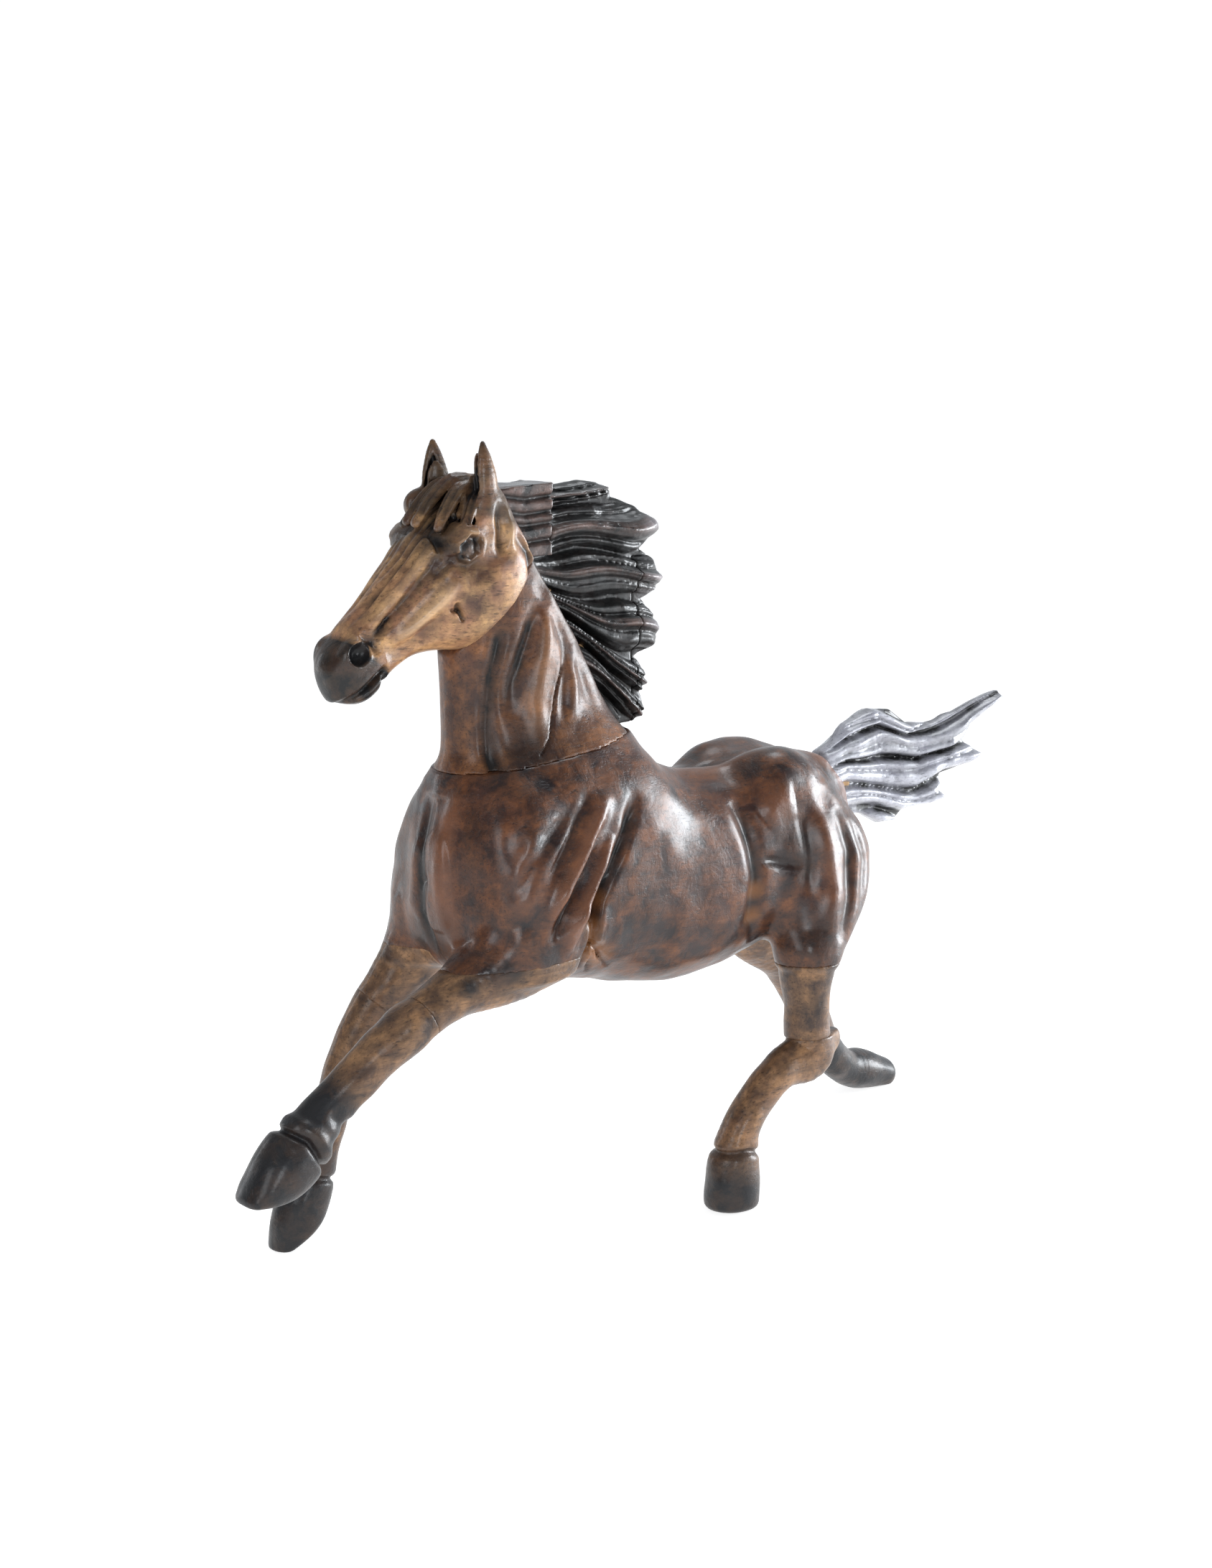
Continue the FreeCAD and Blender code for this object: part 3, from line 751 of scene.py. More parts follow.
def carve_forelock(c):
    """Short locks of hair that fall between the ears onto the forehead."""
    locks = (((62, -5, 207), (69, -7.4, 207), (74, -9.4, 202.5), (77, -10.2, 198.5)),
             ((62, 6, 207), (68, 8.4, 205.5), (72, 10.8, 202), (74.5, 12.4, 198)),
             ((62, -2, 208), (70, -3.6, 209), (76, -5.2, 204), (79.5, -5.6, 199.5)),
             ((62, 3, 208), (70, 5.0, 208), (76, 6.6, 203), (79, 7.6, 198.5)),
             ((62, 0, 209), (70, 0.6, 210), (77, 1.0, 205), (81.5, 1.0, 199.5)))
    for line in locks:
        radii = np.linspace(3.1, 1.7, len(line))
        lock = [p + (r * 0.8, r) for p, r in zip(line, radii)]
        c.add(limb(c.g, lock, each=4, margin=4), 0.3)
    for line in locks:
        for shift in (-0.9, 0.9):
            strand = [(x, y + shift, z) for x, y, z in line]
            c.cut_line(strand, 0.5, 0.8, flat="z", ends=0.1,
                       where=lambda s: np.clip((s.z - 195) / 2, 0, 1))


# ---------------------------------------------------------------- mane and tail
MANE_HALF = 6.3
POLL_SEAM_X = 41.0
TIP_LINE_X = 8.4
TIP_CUTS = (187.0, 173.5, 158.5, 138.0)
MANE_EDGE = [(41, 206.6), (38, 205.4), (33, 206.2), (27, 206.8), (21, 206.0), (18, 204.6),
             (19.5, 202.6), (14, 201.2), (8, 199), (2.6, 196), (1.2, 194.6), (4.5, 191.5),
             (9, 188.4), (5.5, 187.2), (1.6, 184.6), (0.2, 181), (0.8, 178.4), (5, 177),
             (9.6, 175.2), (5.2, 173), (2, 169.6), (0.9, 165.4), (2, 162.8), (6.4, 161.6),
             (9.8, 159.4), (7.6, 157), (5.6, 153.6), (6.2, 150.8), (8.6, 149.6),
             (6.6, 147.4), (5.6, 144.6), (8, 143), (13, 142.4), (18, 140)]
# strand guides from the neck side to the tips: x, z pairs, one list for each deep groove
MANE_GUIDES = [
    [(60, 210), (41, 209), (25, 210.5), (10, 209), (-6, 207)],
    [(60, 203), (53, 200), (41, 200.5), (32, 202), (23, 203.6), (8, 206), (-6, 207)],
    [(58, 196), (46, 189.5), (32, 189.5), (19, 188.6), (9, 188), (-6, 188)],
    [(52, 184), (38, 180), (32, 178.4), (19, 176.4), (10, 175.2), (-6, 174)],
    [(46, 177), (34, 172), (24, 166.4), (16, 162.4), (9, 159.4), (-6, 153)],
    [(40, 170), (27, 163), (19, 156.4), (8, 149.8), (-6, 142)],
    [(34, 160), (21, 151), (17, 146.6), (12, 141.6), (-6, 130)]]


def edge_distance(g, outline):
    """Signed distance to a closed outline in x and z, on one slice of the grid."""
    x = g.x[:, 0, :]
    z = g.z[:, 0, :]
    closed = list(outline) + [outline[0]]
    points = [(p[0], 0, p[1]) for p in closed]
    d, _ = lines_distance(points, (x, 0, z), (0, 2))
    inside = np.zeros(np.broadcast(x, z).shape, bool)
    for (xa, za), (xb, zb) in zip(closed[:-1], closed[1:]):
        crosses = (za > z) != (zb > z)
        at = xa + (z - za) * (xb - xa) / (zb - za + 1e-9)
        inside ^= crosses & (x < at)
    return np.where(inside, -d, d)


def strand_count(g, guides):
    """A number that rises by one from each guide line to the next."""
    x = g.axes[0]
    z = g.axes[2]
    lines = []
    for guide in guides:
        ordered = sorted(guide)
        lines.append(np.interp(x, [p[0] for p in ordered], [p[1] for p in ordered]))
    lines = np.array(lines)
    count = np.zeros((len(x), len(z)), np.float32)
    for i in range(len(x)):
        heights = lines[:, i]
        order = np.argsort(heights)
        count[i] = np.interp(z, heights[order], order)
    return count


def fold(count):
    """1 at each whole number, falling to 0 midway between two."""
    return np.abs(count - np.floor(count) - 0.5) * 2


def hair(c, outline, guides, half, splits, seed, root, grow=1.9, wiry=0.45,
         deepest=4.6, keen=2.0):
    """A flat block cut into locks by deep grooves and into strands by finer ones."""
    g = c.g
    rng = np.random.default_rng(seed)
    edge = edge_distance(g, outline) - grow
    count = strand_count(g, guides)
    count = count + 0.10 * np.sin(g.axes[0][:, None] / 7.0 + count * 2.1)
    full = np.clip(-edge / 7.0, 0, 1) ** 0.5
    run = root(g)[:, 0, :]
    field = None
    for side in (1, -1):
        phase = rng.uniform(-0.06, 0.06, 16)
        shifted = count + (0.0 if side > 0 else 0.35)
        strand = fold(shifted * splits + 0.22 * np.sin(shifted * 5 + phase[0] * 40))
        wire = fold(shifted * splits * 2.7 + 0.3 * np.sin(shifted * 9 + 1))
        groove = deepest * fold(shifted) ** keen + 0.46 * deepest * strand ** 1.8
        groove = (groove + wiry * wire ** 2.4) * run
        thick = half * (0.34 + 0.66 * full)
        top = np.maximum(thick - groove, 0.9)
        flat = side * g.y - top[:, None, :]
        # groove depths are kept as marks that later paint the grooves dark: painted shade
        mark = groove[:, None, :] * np.clip(g.y * side + 0.5, 0, 1)
        field = flat if field is None else np.maximum(field, flat)
        c.marks += mark.astype(np.float32)
    c.field = keep(field, np.broadcast_to(edge[:, None, :], g.shape), 1.2) * 0.8


def mane_field(low, high, step=0.42):
    """The whole mane on a grid of the given box; each glued block keeps its own part."""
    c = Carving(low, high, step)
    outline = [(70, 207.5)] + MANE_EDGE + [(30, 130), (70, 130)]
    hair(c, outline, MANE_GUIDES, MANE_HALF, 3.0, 41,
         lambda g: np.clip((50 - g.x) / 12, 0.35, 1))
    c.roughen(42, 4.0, 0.22)
    c.trim(-behind_mane_seam(c.g))
    return c


def poll_step(g):
    """Positive behind and below the plain poll block."""
    return np.maximum(POLL_SEAM_X - g.x, 189.4 - g.z)


def carve_board():
    c = mane_field((-3, -7.5, 138), (62, 7.5, 211))
    g = c.g
    c.trim(0.05 - poll_step(g), 0.3)
    tips = np.maximum(g.x - TIP_LINE_X, np.maximum(g.z - TIP_CUTS[0], 138 - g.z))
    c.trim(-tips + 0.05, 0.3)
    return c


def carve_tip(number):
    high, low = TIP_CUTS[number], TIP_CUTS[number + 1]
    c = mane_field((-3, -7.5, low - 2), (12, 7.5, high + 2), 0.36)
    g = c.g
    c.trim(g.x - TIP_LINE_X + 0.05, 0.3)
    c.trim(np.maximum(g.z - high, low - g.z), 0.1)
    return c


def carve_poll():
    """Plain squared block behind the ears, with a few shallow strokes."""
    c = Carving((38, -8.5, 186), (62, 8.5, 211), 0.4)
    g = c.g
    top = plane(g, (50, 0, 208.2), (0.06, 0, 1))
    c.field = np.maximum(np.abs(g.y) - 6.6 - 0.5 * np.clip((g.z - 190) / 20, 0, 1), top)
    for z in (193, 197.5, 200.5, 204.5):
        c.both([(61, 7, z + 1.5), (50, 7, z), (40, 7, z + 0.8)], 0.8, 1.1, ends=0.05)
    c.roughen(45, 5.0, 0.4)
    c.trim(poll_step(g), 0.4)
    c.trim(-behind_mane_seam(g))
    return c


TAIL_EDGE = [(-62, 122), (-68, 126), (-76, 131.8), (-88, 135.2), (-97, 134.0),
             (-104, 129.4), (-112, 129), (-124, 131.4), (-134, 134.8), (-144, 136.4),
             (-145, 134), (-138, 130.5), (-131, 126.6), (-127, 122.6), (-131, 119.8),
             (-136, 117), (-130, 114.4), (-119, 112), (-117.4, 108.4), (-120, 104.6),
             (-114, 103.4), (-104, 102.8), (-99, 99.8), (-93, 99.2), (-86, 103),
             (-78, 104.6), (-70, 103), (-62, 102)]
TAIL_GUIDES = [
    [(-60, 126), (-76, 134.5), (-90, 136.5), (-104, 130), (-124, 136), (-146, 142)],
    [(-60, 122), (-76, 128), (-90, 129), (-101, 126), (-112, 127), (-126, 130),
     (-146, 136.5)],
    [(-60, 118), (-74, 121), (-90, 121.5), (-106, 117.5), (-118, 120), (-128, 123),
     (-146, 128)],
    [(-60, 113), (-74, 113.5), (-92, 111.5), (-106, 109.5), (-120, 112), (-146, 114)],
    [(-60, 108), (-74, 106.5), (-88, 104.5), (-100, 101.5), (-116, 101), (-146, 96)],
    [(-60, 103), (-76, 99), (-88, 96), (-110, 90), (-146, 82)]]


def tail_wave(x):
    """The tail swings a little from side to side along its length."""
    return 1.6 * np.sin((x + 62) / 17.0)


def carve_tail():
    c = Carving((-148, -8, 95), (-62, 8, 140), 0.42)
    g = c.g
    straight = g.y
    g.y = g.y - tail_wave(g.x) * np.clip((-70 - g.x) / 20, 0, 1)
    hair(c, TAIL_EDGE, TAIL_GUIDES, 5.6, 2.0, 51,
         lambda g: np.clip((-64 - g.x) / 10, 0.3, 1), grow=0.1, wiry=0.1,
         deepest=3.4, keen=3.0)
    g.y = straight
    c.field = c.field * 0.85
    c.roughen(52, 5.0, 0.2)
    c.trim(g.x - TAIL_SEAM_X + 0.05, 0.4)
    return c


# ---------------------------------------------------------------- legs
LEG_STEP = 0.45


def leg_roughen(c):
    """The unevenness that legs and torso share, so that it runs on across their seams."""
    c.roughen(61, 6.0, 0.4)


def below_knee_left(g):
    return plane(g, (92.5, 16, 74), (0.87, 0, -0.49))


def below_knee_right(g):
    return plane(g, (79, -24, 67), (0.62, -0.2, -0.76))


def below_hock_right(g):
    return plane(g, (-80, -24.5, 50), (-0.66, -0.2, -0.72))


def carve_forearm(box, side, stations, below_knee, overlap):
    """Upper foreleg, out of the same field as the torso so that the two meet."""
    c = Carving(*box, 0.5)
    g = c.g
    c.field = trunk(g)
    c.add(limb(g, stations), 4.0)
    carve_shoulders(c)
    leg_roughen(c)
    c.trim(foreleg_room(g, side) - SEAM_OVERLAP, 0.12)
    c.trim(below_knee(g) - overlap, SEAM_EASE)
    return c


def carve_left_forearm():
    return carve_forearm(((36, 3, 66), (100, 34, 88)), 1, LEFT_FORE, below_knee_left, 0.08)


def carve_right_forearm():
    return carve_forearm(((36, -36, 58), (92, -3, 88)), -1, RIGHT_FORE, below_knee_right,
                         0.25)


def carve_left_fore_shank():
    c = Carving((84, 3, 26), (150, 29, 84), LEG_STEP)
    g = c.g
    c.field = limb(g, LEFT_FORE)
    # the hoof ends on a slanted sole, with a cut rim above it
    c.trim(plane(g, (136, 15, 34), (0.05, 0, -1)), 0.8)
    c.cut_line([(123, 15, 38), (128, 15, 44), (131, 15, 49), (137, 15, 53)], 0.9, 1.7,
               ends=0.04)
    c.cut_line([(120, 15, 40), (125, 15, 46), (128.5, 15, 51), (133, 15, 55)], 1.7, -0.9,
               ends=0.05)
    c.cut_line([(113, 15, 49), (120, 15, 51), (124, 15, 55)], 1.8, 1.1)
    c.cut_line([(98, 18, 62), (107, 18, 56), (115, 18, 51)], 1.8, 0.8)
    leg_roughen(c)
    c.trim(-below_knee_left(g) - 0.08, SEAM_EASE)
    return c


def carve_right_fore_shank():
    c = Carving((70, -46, -1), (114, -12, 76), LEG_STEP)
    g = c.g
    c.field = limb(g, RIGHT_FORE)
    c.cut_line([(86, -32, 17), (96, -32, 19.5), (106, -32, 22)], 1.0, 1.3, ends=0.05)
    leg_roughen(c)
    c.trim(plane(g, (97.5, 0, 5.4), (-0.57, 0, -0.82)), 2.0)
    c.trim(-g.z, 0.8)
    c.trim(-below_knee_right(g) - 0.25, SEAM_EASE)
    return c


def carve_gaskin(box, stations, below_hock):
    """Upper hind leg, out of the same field as the torso so that the two meet."""
    c = Carving(*box, LEG_STEP)
    g = c.g
    c.field = trunk(g)
    c.add(limb(g, stations), 3.0)
    leg_roughen(c)
    c.trim(g.z - HIND_SEAM_Z - SEAM_OVERLAP, 0.12)
    c.trim(below_hock(g), SEAM_EASE)
    return c


def carve_left_gaskin():
    return carve_gaskin(((-58, 8, 44), (-26, 36, 72)), LEFT_HIND_TOP,
                        lambda g: HOCK_SEAM_Z - 0.2 - g.z)


def carve_left_hind_shank():
    c = Carving((-60, 10, -1), (6, 34, 50), LEG_STEP)
    g = c.g
    c.field = limb(g, LEFT_HIND)
    # the point of the hock
    c.add(ball(g, (-50, 21.5, 43), (4.2, 3.6, 4.6), -30), 3.0)
    c.cut_line([(-22, 20, 15), (-14, 21, 17.5), (-5, 21, 17)], 1.0, 1.3, ends=0.05)
    leg_roughen(c)
    c.trim(-g.z, 2.0)
    c.trim(g.z - HOCK_SEAM_Z - 0.2, SEAM_EASE)
    return c


def carve_right_gaskin():
    return carve_gaskin(((-92, -38, 42), (-46, -6, 72)), RIGHT_HIND,
                        lambda g: below_hock_right(g) - 0.25)


def carve_right_hind_shank():
    c = Carving((-146, -50, -1), (-70, -14, 60), LEG_STEP)
    g = c.g
    c.field = limb(g, RIGHT_HIND)
    leg_roughen(c)
    c.trim(-g.z, 0.4)
    c.trim(-below_hock_right(g) - 0.25, SEAM_EASE)
    return c


# ---------------------------------------------------------------- stain of each piece
def no_stain(x, y, z):
    return 0 * x


def near(x, y, z, centre, reach):
    """1 at a place, fading to 0 at some distance from it, on both sides of the head."""
    d = np.sqrt((x - centre[0]) ** 2 + (np.abs(y) - centre[1]) ** 2 + (z - centre[2]) ** 2)
    return np.clip(1.4 * (1 - d / reach), 0, 1)


def head_stain_and_shade(x, y, z):
    """Black on the muzzle, in and round the ears, on the forelock and round the eyes; painted
    shade in the hollow under the eye and in the nostril.
    """
    s, u = head_axes(x, z)
    muzzle = np.clip((s - 43.5 - 0.35 * (u - 4)) / 1.6, 0, 1)
    crown = np.clip((z - 0.35 * x - 176.5) / 2.5, 0, 1) * np.clip((213 - z) / 6, 0, 1)
    ears = np.clip((z - 200) / 3, 0, 1) * np.clip((x - 63 + 8 * (y < 0)) / 3, 0, 1)
    dark = np.maximum(np.maximum(muzzle, 0.8 * crown), 0.75 * ears)
    eyeball = near(x, y, z, head_point(8.2, 14.2, 10.2), 3.2)
    round_eye = near(x, y, z, head_point(8.6, 12.5, 10.4), 8.0)
    dark = np.maximum(dark, 0.95 * round_eye - 1.2 * eyeball)
    # dark brow; painted shade in the hollow under the eye; the nostril's black rim with painted
    # shade in its hole
    for spot, reach, depth in (((12, 6, 15), 8, 0.7), ((7, 14, 4.5), 6.5, 0.5),
                               ((46.8, 7.0, 6.6), 3.6, 1.0)):
        dark = np.maximum(dark, depth * near(x, y, z, head_point(*spot), reach))
    return dark


def neck_stain_and_shade(x, y, z):
    """Dark at the foot of the neck and beside the mane, and painted shade in the undercut under
    the cheek.
    """
    foot = near(x, y, z, (56, 14, 139), 11)
    # painted shade in the leaf-shaped undercut under the cheek
    leaf = near(x, y, z, (60, 11, 168), 7)
    seam = np.interp(z, [p[1] for p in MANE_SEAM][::-1], [p[0] for p in MANE_SEAM][::-1])
    mane = np.clip(1 - (x - seam) / 4.0, 0, 1)
    return np.maximum(np.maximum(0.75 * foot, 0.6 * leaf), 0.8 * mane)


def blotches(x, y, z, spots):
    """Dark spots, each with its place, its reach and how dark it is."""
    dark = 0 * x
    for spot, reach, depth in spots:
        dark = np.maximum(dark, depth * near(x, y, z, spot, reach))
    return dark


def body_stain(x, y, z):
    """Dark patches on haunch and breast; below zero, bare wood at the elbow and flank."""
    bare = 0 * x
    for spot, reach in (((42, 25, 99), 5), ((43, 24, 91), 5), ((41, 22, 84), 6),
                        ((36, 21, 80), 6), ((-20, 22, 92), 4), ((-20, 21, 84), 4)):
        bare = bare - 0.8 * near(x, y, z, spot, reach)
    haunch = 0.6 * near(x, y, z, (-34, 22, 104), 13)
    dark = blotches(x, y, z, (((72, 22, 84), 6, 0.9), ((58, 27, 86), 5, 0.6),
                              ((-40, 26, 78), 12, 0.6), ((20, 25, 88), 13, 0.35),
                              ((75, 4, 92), 9, 0.6), ((-2, 24, 74), 8, 0.5),
                              ((-60, 22, 112), 9, 0.4)))
    return np.where(dark > 0, np.maximum(bare + haunch, dark), bare + haunch)


def leg_stain(x, y, z):
    """Blotches where the leg meets the body and at the knots."""
    return blotches(x, y, z, (((70, 25, 84), 6, 0.9), ((82, 23, 81), 4, 0.9),
                              ((72, 26, 79), 6, 0.5), ((-46, 28, 66), 7, 0.6),
                              ((-40, 29, 56), 4, 0.7)))


def hoof_stain(place, normal, reach):
    """Dark from the fetlock down to the hoof: a plane, its normal and how soft it is."""
    return lambda x, y, z: np.clip(ahead(x, y, z, place, normal) / reach, 0, 1)


def painted_tip_highlight(x, y, z):
    """Painted highlight: silvery, lighter ends of the locks of the mane."""
    return 0.6 * np.clip((9.0 - x) / 8.0, 0, 1)


# ---------------------------------------------------------------- materials
def rgb(red, green, blue):
    """A colour given as on screen, 0 to 255, turned into linear light."""
    linear = [((v / 255 + 0.055) / 1.055) ** 2.4 if v > 10 else v / 3295.0
              for v in (red, green, blue)]
    return tuple(linear) + (1.0,)


class Nodes:
    """Small helper that wires shader nodes."""

    def __init__(self, name):
        self.material = bpy.data.materials.new(name)
        self.material.use_nodes = True
        self.tree = self.material.node_tree
        self.shader = self.tree.nodes["Principled BSDF"]
        self.where = self.make("ShaderNodeTexCoord").outputs["Object"]

    def make(self, kind, **settings):
        node = self.tree.nodes.new(kind)
        for key, value in settings.items():
            setattr(node, key, value)
        return node

    def set(self, socket, value):
        if isinstance(value, bpy.types.NodeSocket):
            self.tree.links.new(value, socket)
        else:
            socket.default_value = value

    def attribute(self, name):
        return self.make("ShaderNodeAttribute", attribute_name=name).outputs["Fac"]

    def noise(self, scale, detail=3.0, stretch=(1, 1, 1), turn=(0, 0, 0), bend=0.0):
        move = self.make("ShaderNodeMapping")
        self.set(move.inputs["Vector"], self.where)
        move.inputs["Scale"].default_value = stretch
        move.inputs["Rotation"].default_value = turn
        node = self.make("ShaderNodeTexNoise")
        self.set(node.inputs["Vector"], move.outputs[0])
        node.inputs["Scale"].default_value = scale
        node.inputs["Detail"].default_value = detail
        node.inputs["Roughness"].default_value = 0.6
        node.inputs["Distortion"].default_value = bend
        return node.outputs["Fac"]

    def math(self, how, a, b=0.0, clamp=False):
        node = self.make("ShaderNodeMath", operation=how, use_clamp=clamp)
        self.set(node.inputs[0], a)
        self.set(node.inputs[1], b)
        return node.outputs[0]

    def times(self, a, b, clamp=False):
        return self.math("MULTIPLY", a, b, clamp)

    def window(self, value, low, high):
        """0 below low, 1 above high, straight in between."""
        node = self.make("ShaderNodeMapRange", clamp=True)
        self.set(node.inputs["Value"], value)
        node.inputs["From Min"].default_value = low
        node.inputs["From Max"].default_value = high
        return node.outputs[0]

    def mix(self, amount, a, b):
        node = self.make("ShaderNodeMix", data_type="RGBA")
        self.set(node.inputs["Factor"], amount)
        self.set(node.inputs["A"], a)
        self.set(node.inputs["B"], b)
        return node.outputs["Result"]

    def bump(self, height, strength, distance, under=None):
        node = self.make("ShaderNodeBump")
        node.inputs["Strength"].default_value = strength
        node.inputs["Distance"].default_value = distance
        self.set(node.inputs["Height"], height)
        if under is not None:
            self.set(node.inputs["Normal"], under)
        return node.outputs[0]


def stained_wood(name, dark, middle, light, stain_and_painted_light, groove, raw, gloss=0.36, coat=0.45,
                 grain_turn=(0, 0, 0), grain=0.5, groove_first=0.0, bite=1.9):
    """Hand-rubbed stained wood: blotches, grain, dark in the cuts from gathered stain and painted
    shade, worn on ridges.
    """
    n = Nodes(name)
    blotch = n.window(n.noise(42, 4, (1, 1, 0.75), bend=0.4), 0.40, 0.60)
    cloud = n.window(n.noise(150, 6, bend=0.3), 0.38, 0.64)
    fibre = n.window(n.noise(420, 3, (0.10, 1, 1), grain_turn, 0.3), 0.38, 0.66)
    pores = n.window(n.noise(1700, 3, (0.22, 1, 1), grain_turn), 0.56, 0.70)
    speck = n.window(n.noise(620, 5), 0.42, 0.62)
    colour = n.mix(n.times(blotch, 0.9), dark, middle)
    colour = n.mix(n.times(cloud, 0.6), colour, light)
    colour = n.mix(n.times(speck, 0.3), colour, dark)
    colour = n.mix(n.times(fibre, grain), colour, dark)
    colour = n.mix(n.times(pores, 0.6), colour, groove)
    carved = n.attribute("carve")
    ridge = n.window(n.times(carved, -1.0), 0.15, 1.6)
    colour = n.mix(n.times(ridge, 0.55), colour, raw)
    # dark in the cuts: stain gathered in the tool marks, together with painted shade in the
    # grooves
    cut = n.window(carved, 0.1, bite)
    cut = n.times(cut, n.math("ADD", cloud, 0.55), clamp=True)
    colour = n.mix(cut, colour, groove)
    # the stain mask: dark stain, painted shade and, on the mane, painted highlight
    amount = n.attribute("stain_and_painted_light")
    bare = n.window(n.times(amount, -1.0), 0.0, 1.0)
    colour = n.mix(n.times(bare, 0.8), colour, RAW)
    patchy = n.math("ADD", n.times(cloud, 0.3), 0.8)
    # groove_first keeps the stain mask's colour out of the cuts, so the painted shade there stays
    # dark
    patchy = n.math("SUBTRACT", patchy, n.times(cut, groove_first), clamp=True)
    colour = n.mix(n.times(amount, patchy, clamp=True), colour, stain_and_painted_light)
    n.set(n.shader.inputs["Base Color"], colour)
    rough = n.math("ADD", n.times(cloud, 0.16), gloss)
    rough = n.math("ADD", rough, n.times(cut, 0.2), clamp=True)
    n.set(n.shader.inputs["Roughness"], rough)
    n.shader.inputs["Coat Weight"].default_value = coat
    n.shader.inputs["Coat Roughness"].default_value = 0.24
    n.shader.inputs["Specular IOR Level"].default_value = 0.28
    height = n.math("ADD", n.times(fibre, 0.5), n.times(pores, -0.8))
    coarse = n.bump(cloud, 0.35, 0.0005)
    n.set(n.shader.inputs["Normal"], n.bump(height, 0.35, 0.00022, coarse))
    return n.material


BLACK = rgb(16, 15, 17)
RAW = rgb(150, 96, 48)
body_wood = stained_wood("body_wood", rgb(28, 19, 20), rgb(78, 46, 34), rgb(142, 86, 47),
                         BLACK, rgb(14, 9, 9), rgb(128, 84, 60), coat=0.46,
                         grain_turn=(0, 0.5, 0.1))
neck_wood = stained_wood("neck_wood", rgb(54, 35, 29), rgb(112, 70, 46),
                         rgb(160, 104, 58), BLACK, rgb(18, 12, 10), rgb(154, 112, 80),
                         coat=0.3, grain_turn=(0, 1.35, 0), grain=0.55)
head_wood = stained_wood("head_wood", rgb(78, 53, 42), rgb(182, 131, 96),
                         rgb(232, 184, 124), rgb(12, 12, 14), rgb(26, 17, 14),
                         rgb(226, 188, 148), coat=0.4, grain_turn=(0, 0.62, 0), grain=0.6)
# the mane's fourth colour, pale silver, is the painted highlight put on the tips of the locks
mane_wood = stained_wood("mane_wood", rgb(7, 6, 7), rgb(38, 30, 30), rgb(148, 118, 108),
                         rgb(186, 178, 182), rgb(2, 2, 2), rgb(150, 124, 114), gloss=0.24,
                         coat=0.5, grain=0.4, groove_first=1.0, bite=1.3)
# pale silvery tail colours are painted sheen: they stand in for the strong gloss reflection on a
# darker tail
tail_wood = stained_wood("tail_wood", rgb(128, 128, 138), rgb(196, 197, 208),
                         rgb(230, 231, 238), BLACK, rgb(16, 15, 16), rgb(236, 236, 244),
                         gloss=0.22, coat=0.9, grain=0.2, bite=3.6)
leg_wood = stained_wood("leg_wood", rgb(58, 44, 38), rgb(138, 101, 73), rgb(188, 142, 98),
                        rgb(26, 26, 29), rgb(24, 16, 14), rgb(182, 142, 106), gloss=0.38,
                        coat=0.34, grain_turn=(0, 0.7, 0), grain=0.6)


def beech():
    """Pale dowel wood with fine grain along the rod."""
    n = Nodes("dowel_wood")
    fibre = n.window(n.noise(700, 4, (1, 1, 0.12)), 0.35, 0.7)
    colour = n.mix(fibre, rgb(196, 158, 112), rgb(160, 118, 76))
    n.set(n.shader.inputs["Base Color"], colour)
    n.shader.inputs["Roughness"].default_value = 0.62
    n.set(n.shader.inputs["Normal"], n.bump(fibre, 0.3, 0.0002))
    return n.material


def make_pieces():
    """Every visible block, carved and set in place of its plain CAD solid."""
    jobs = [
        ("torso", carve_torso, body_wood, body_stain),
        ("neck", carve_neck, neck_wood, neck_stain_and_shade),
        ("head", carve_head, head_wood, head_stain_and_shade),
        ("mane_poll_block", carve_poll, mane_wood, no_stain),
        ("mane_board", carve_board, mane_wood, painted_tip_highlight),
        ("mane_tip_upper", lambda: carve_tip(0), mane_wood, painted_tip_highlight),
        ("mane_tip_middle", lambda: carve_tip(1), mane_wood, painted_tip_highlight),
        ("mane_tip_lower", lambda: carve_tip(2), mane_wood, painted_tip_highlight),
        ("tail", carve_tail, tail_wood, no_stain),
        ("left_forearm", carve_left_forearm, leg_wood, leg_stain),
        ("right_forearm", carve_right_forearm, leg_wood, leg_stain),
        ("left_fore_shank", carve_left_fore_shank, leg_wood,
         hoof_stain((112, 15, 62), (0.8, 0, -0.6), 9)),
        ("right_fore_shank", carve_right_fore_shank, leg_wood,
         hoof_stain((93, -30, 30), (0.2, 0, -1), 12)),
        ("left_gaskin", carve_left_gaskin, leg_wood, leg_stain),
        ("right_gaskin", carve_right_gaskin, leg_wood, leg_stain),
        ("left_hind_shank", carve_left_hind_shank, leg_wood,
         hoof_stain((-18, 21, 20), (0.3, 0, -1), 14)),
        ("right_hind_shank", carve_right_hind_shank, leg_wood,
         hoof_stain((-98, -30, 26), (-0.6, 0, -0.8), 8))]
    for node, carve, material, tint in jobs:
        mesh_piece(carve(), node, material, tint)


make_pieces()
dowel_wood = beech()
for obj in list(bpy.context.scene.objects):
    if obj.type == "MESH" and ("dowel" in obj.name or "_pin" in obj.name):
        obj.data.materials.clear()
        obj.data.materials.append(dowel_wood)


SENSOR = 24.0              # sensor height, and focal length, in millimetres
FOCAL_LENGTH = 38.46154
CAMERA_AZIMUTH = 140
CAMERA_LIFT = 10
CAMERA_FAR = 0.7
CAMERA_AIM = (17.0, 0.0, 124.0)
LAMP_COLOUR = (0.92, 0.96, 1.0)
FLOOR_HALF = 6.0
FLOOR_GAP = 0.0004         # the sheet lies this far under the hooves


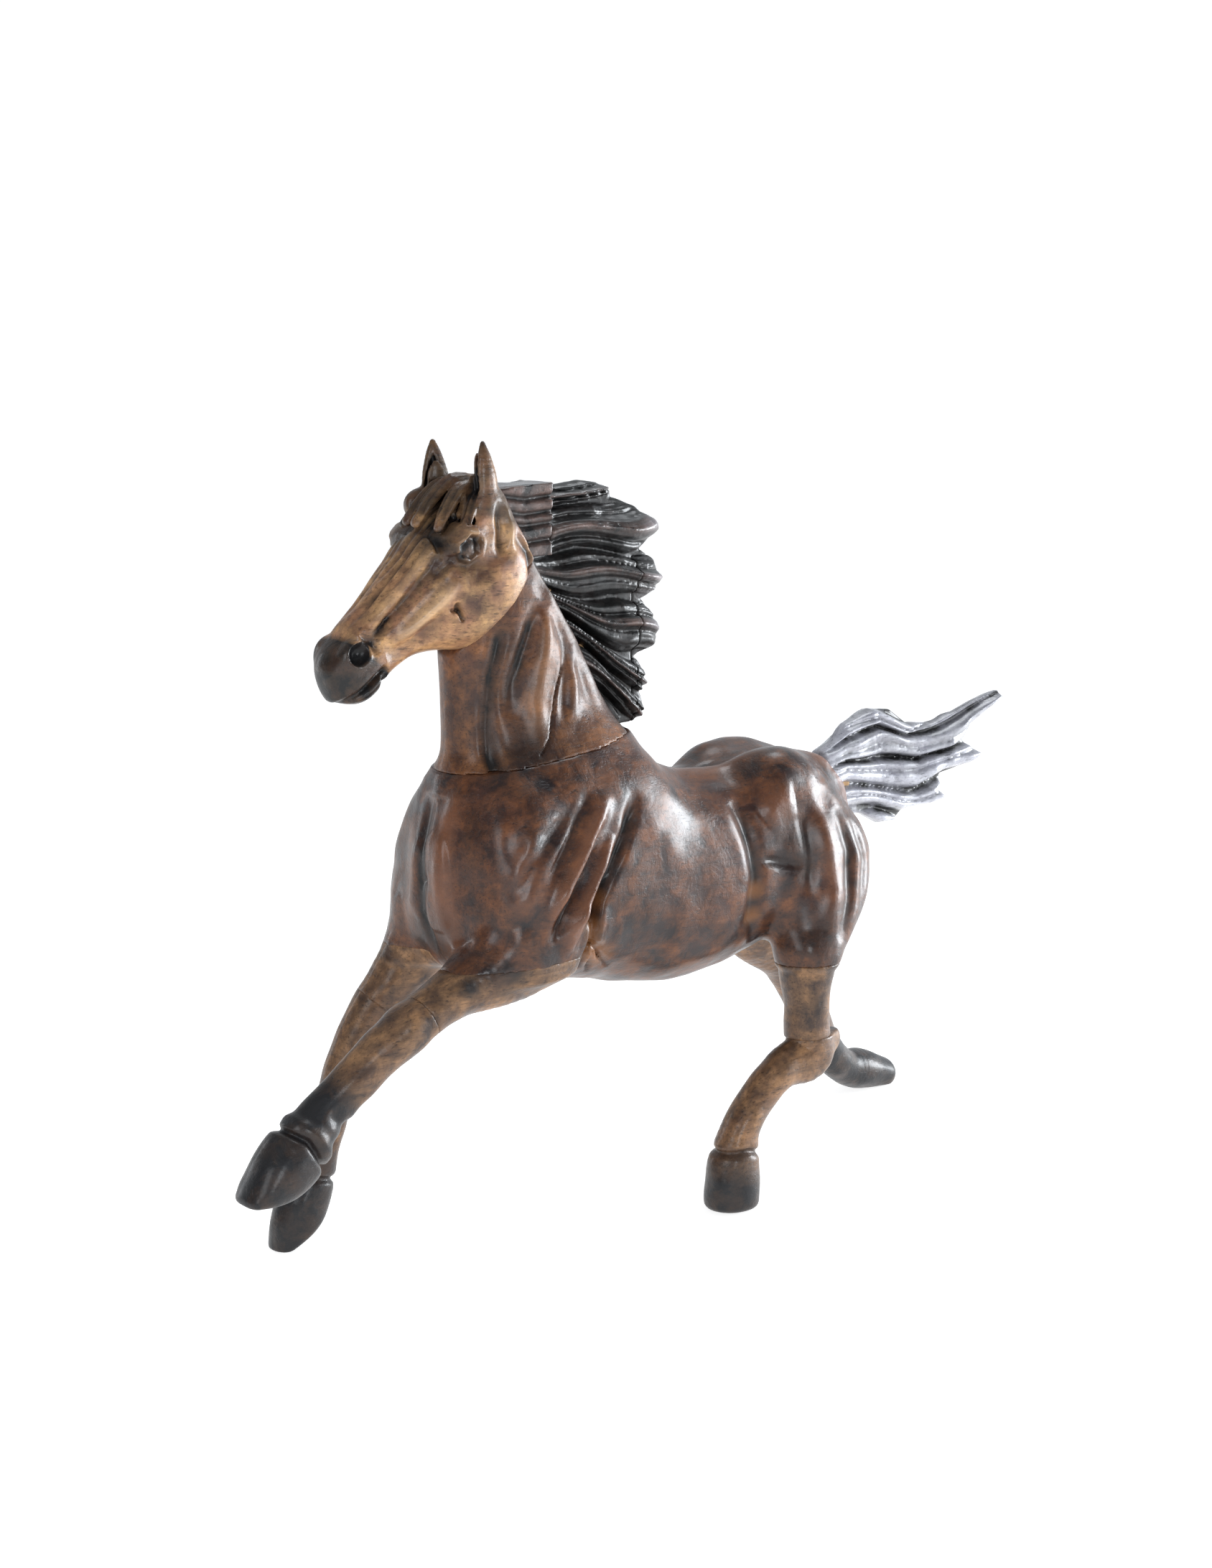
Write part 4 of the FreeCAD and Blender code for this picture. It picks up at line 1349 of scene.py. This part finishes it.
def camera():
    data = bpy.data.cameras.new("camera")
    data.sensor_fit = "VERTICAL"
    data.sensor_height = SENSOR
    data.lens = FOCAL_LENGTH
    data.clip_end = 20.0
    cam = put("camera", data)
    azimuth = math.radians(CAMERA_AZIMUTH)
    lift = math.radians(CAMERA_LIFT)
    back = Vector((math.sin(azimuth) * math.cos(lift),
                   -math.cos(azimuth) * math.cos(lift), math.sin(lift)))
    cam.location = PLACE + Vector(CAMERA_AIM) * MM + back * CAMERA_FAR
    cam.rotation_euler = back.to_track_quat("Z", "Y").to_euler()
    bpy.context.scene.camera = cam


def area_light(name, place, aim, size, power):
    """A soft box at a place, facing another place."""
    data = bpy.data.lights.new(name, "AREA")
    data.shape = "RECTANGLE"
    data.size, data.size_y = size
    data.energy = power
    data.color = LAMP_COLOUR
    lamp = put(name, data)
    lamp.location = place
    lamp.rotation_euler = (Vector(place) - Vector(aim)).to_track_quat("Z", "Y").to_euler()


def floor():
    """A large pale sheet that the horse stands on."""
    corners = [(x * FLOOR_HALF, y * FLOOR_HALF, -FLOOR_GAP)
               for x, y in ((-1, -1), (1, -1), (1, 1), (-1, 1))]
    mesh = bpy.data.meshes.new("floor")
    mesh.from_pydata(corners, [], [(0, 1, 2, 3)])
    mesh.update()
    sheet = put("floor", mesh)
    n = Nodes("floor_paper")
    tone = n.window(n.noise(3.0, 2), 0.3, 0.7)
    n.set(n.shader.inputs["Base Color"], n.mix(tone, rgb(190, 190, 190), rgb(198, 198, 198)))
    n.shader.inputs["Roughness"].default_value = 0.8
    n.shader.inputs["Specular IOR Level"].default_value = 0.1
    n.shader.inputs["Emission Color"].default_value = (1, 1, 1, 1)
    n.shader.inputs["Emission Strength"].default_value = 0.82
    mesh.materials.append(n.material)


def studio_room():
    """White room: seen as white, while it lights the horse mostly from behind."""
    world = bpy.data.worlds.new("studio")
    bpy.context.scene.world = world
    world.use_nodes = True
    tree = world.node_tree
    link = tree.links.new
    plain = tree.nodes["Background"]
    plain.inputs["Color"].default_value = (1, 1, 1, 1)
    plain.inputs["Strength"].default_value = 1.02
    soft = tree.nodes.new("ShaderNodeBackground")
    soft.inputs["Color"].default_value = (0.9, 0.95, 1.0, 1)
    place = tree.nodes.new("ShaderNodeTexCoord")
    facing = tree.nodes.new("ShaderNodeVectorMath")
    facing.operation = "DOT_PRODUCT"
    facing.inputs[1].default_value = (0.86, 0.46, 0.6)
    link(place.outputs["Generated"], facing.inputs[0])
    spread = tree.nodes.new("ShaderNodeMapRange")
    spread.inputs["From Min"].default_value = 0.2
    spread.inputs["From Max"].default_value = -0.92
    spread.inputs["To Min"].default_value = 0.08
    spread.inputs["To Max"].default_value = 1.0
    link(facing.outputs["Value"], spread.inputs["Value"])
    link(spread.outputs[0], soft.inputs["Strength"])
    ray = tree.nodes.new("ShaderNodeLightPath")
    choose = tree.nodes.new("ShaderNodeMixShader")
    link(ray.outputs["Is Camera Ray"], choose.inputs[0])
    link(soft.outputs[0], choose.inputs[1])
    link(plain.outputs[0], choose.inputs[2])
    link(choose.outputs[0], tree.nodes["World Output"].inputs[0])
    bpy.context.scene.view_settings.view_transform = "Standard"


def sun(name, toward, power, spread):
    data = bpy.data.lights.new(name, "SUN")
    data.energy = power
    data.angle = math.radians(spread)
    lamp = put(name, data)
    lamp.rotation_euler = Vector(toward).to_track_quat("Z", "Y").to_euler()


camera()
floor()
sun("ceiling", (0.1, -0.2, 1.0), 0.55, 100)
# soft boxes, named as the camera sees them: behind the tail, behind the far shoulder,
# high over the near haunch, before the face, overhead and beside the camera
area_light("right_side", (-0.80, 0.28, 0.17), (-0.03, 0, 0.11), (0.42, 0.32), 7.5)
area_light("left_side", (0.42, -0.78, 0.18), (0.05, 0, 0.12), (0.12, 0.7), 1.2)
area_light("high_right", (-0.42, 0.62, 0.22), (0, 0, 0.12), (0.14, 0.45), 0.55)
area_light("front", (0.75, 0.42, 0.36), (0.08, 0, 0.12), (0.3, 0.4), 1.7)
area_light("overhead", (-0.45, -0.06, 0.95), (0, 0, 0.12), (0.35, 0.35), 2.6)
area_light("beside_camera", (0.34, 0.98, 0.30), (0.03, 0, 0.14), (0.2, 0.34), 2.2)
studio_room()
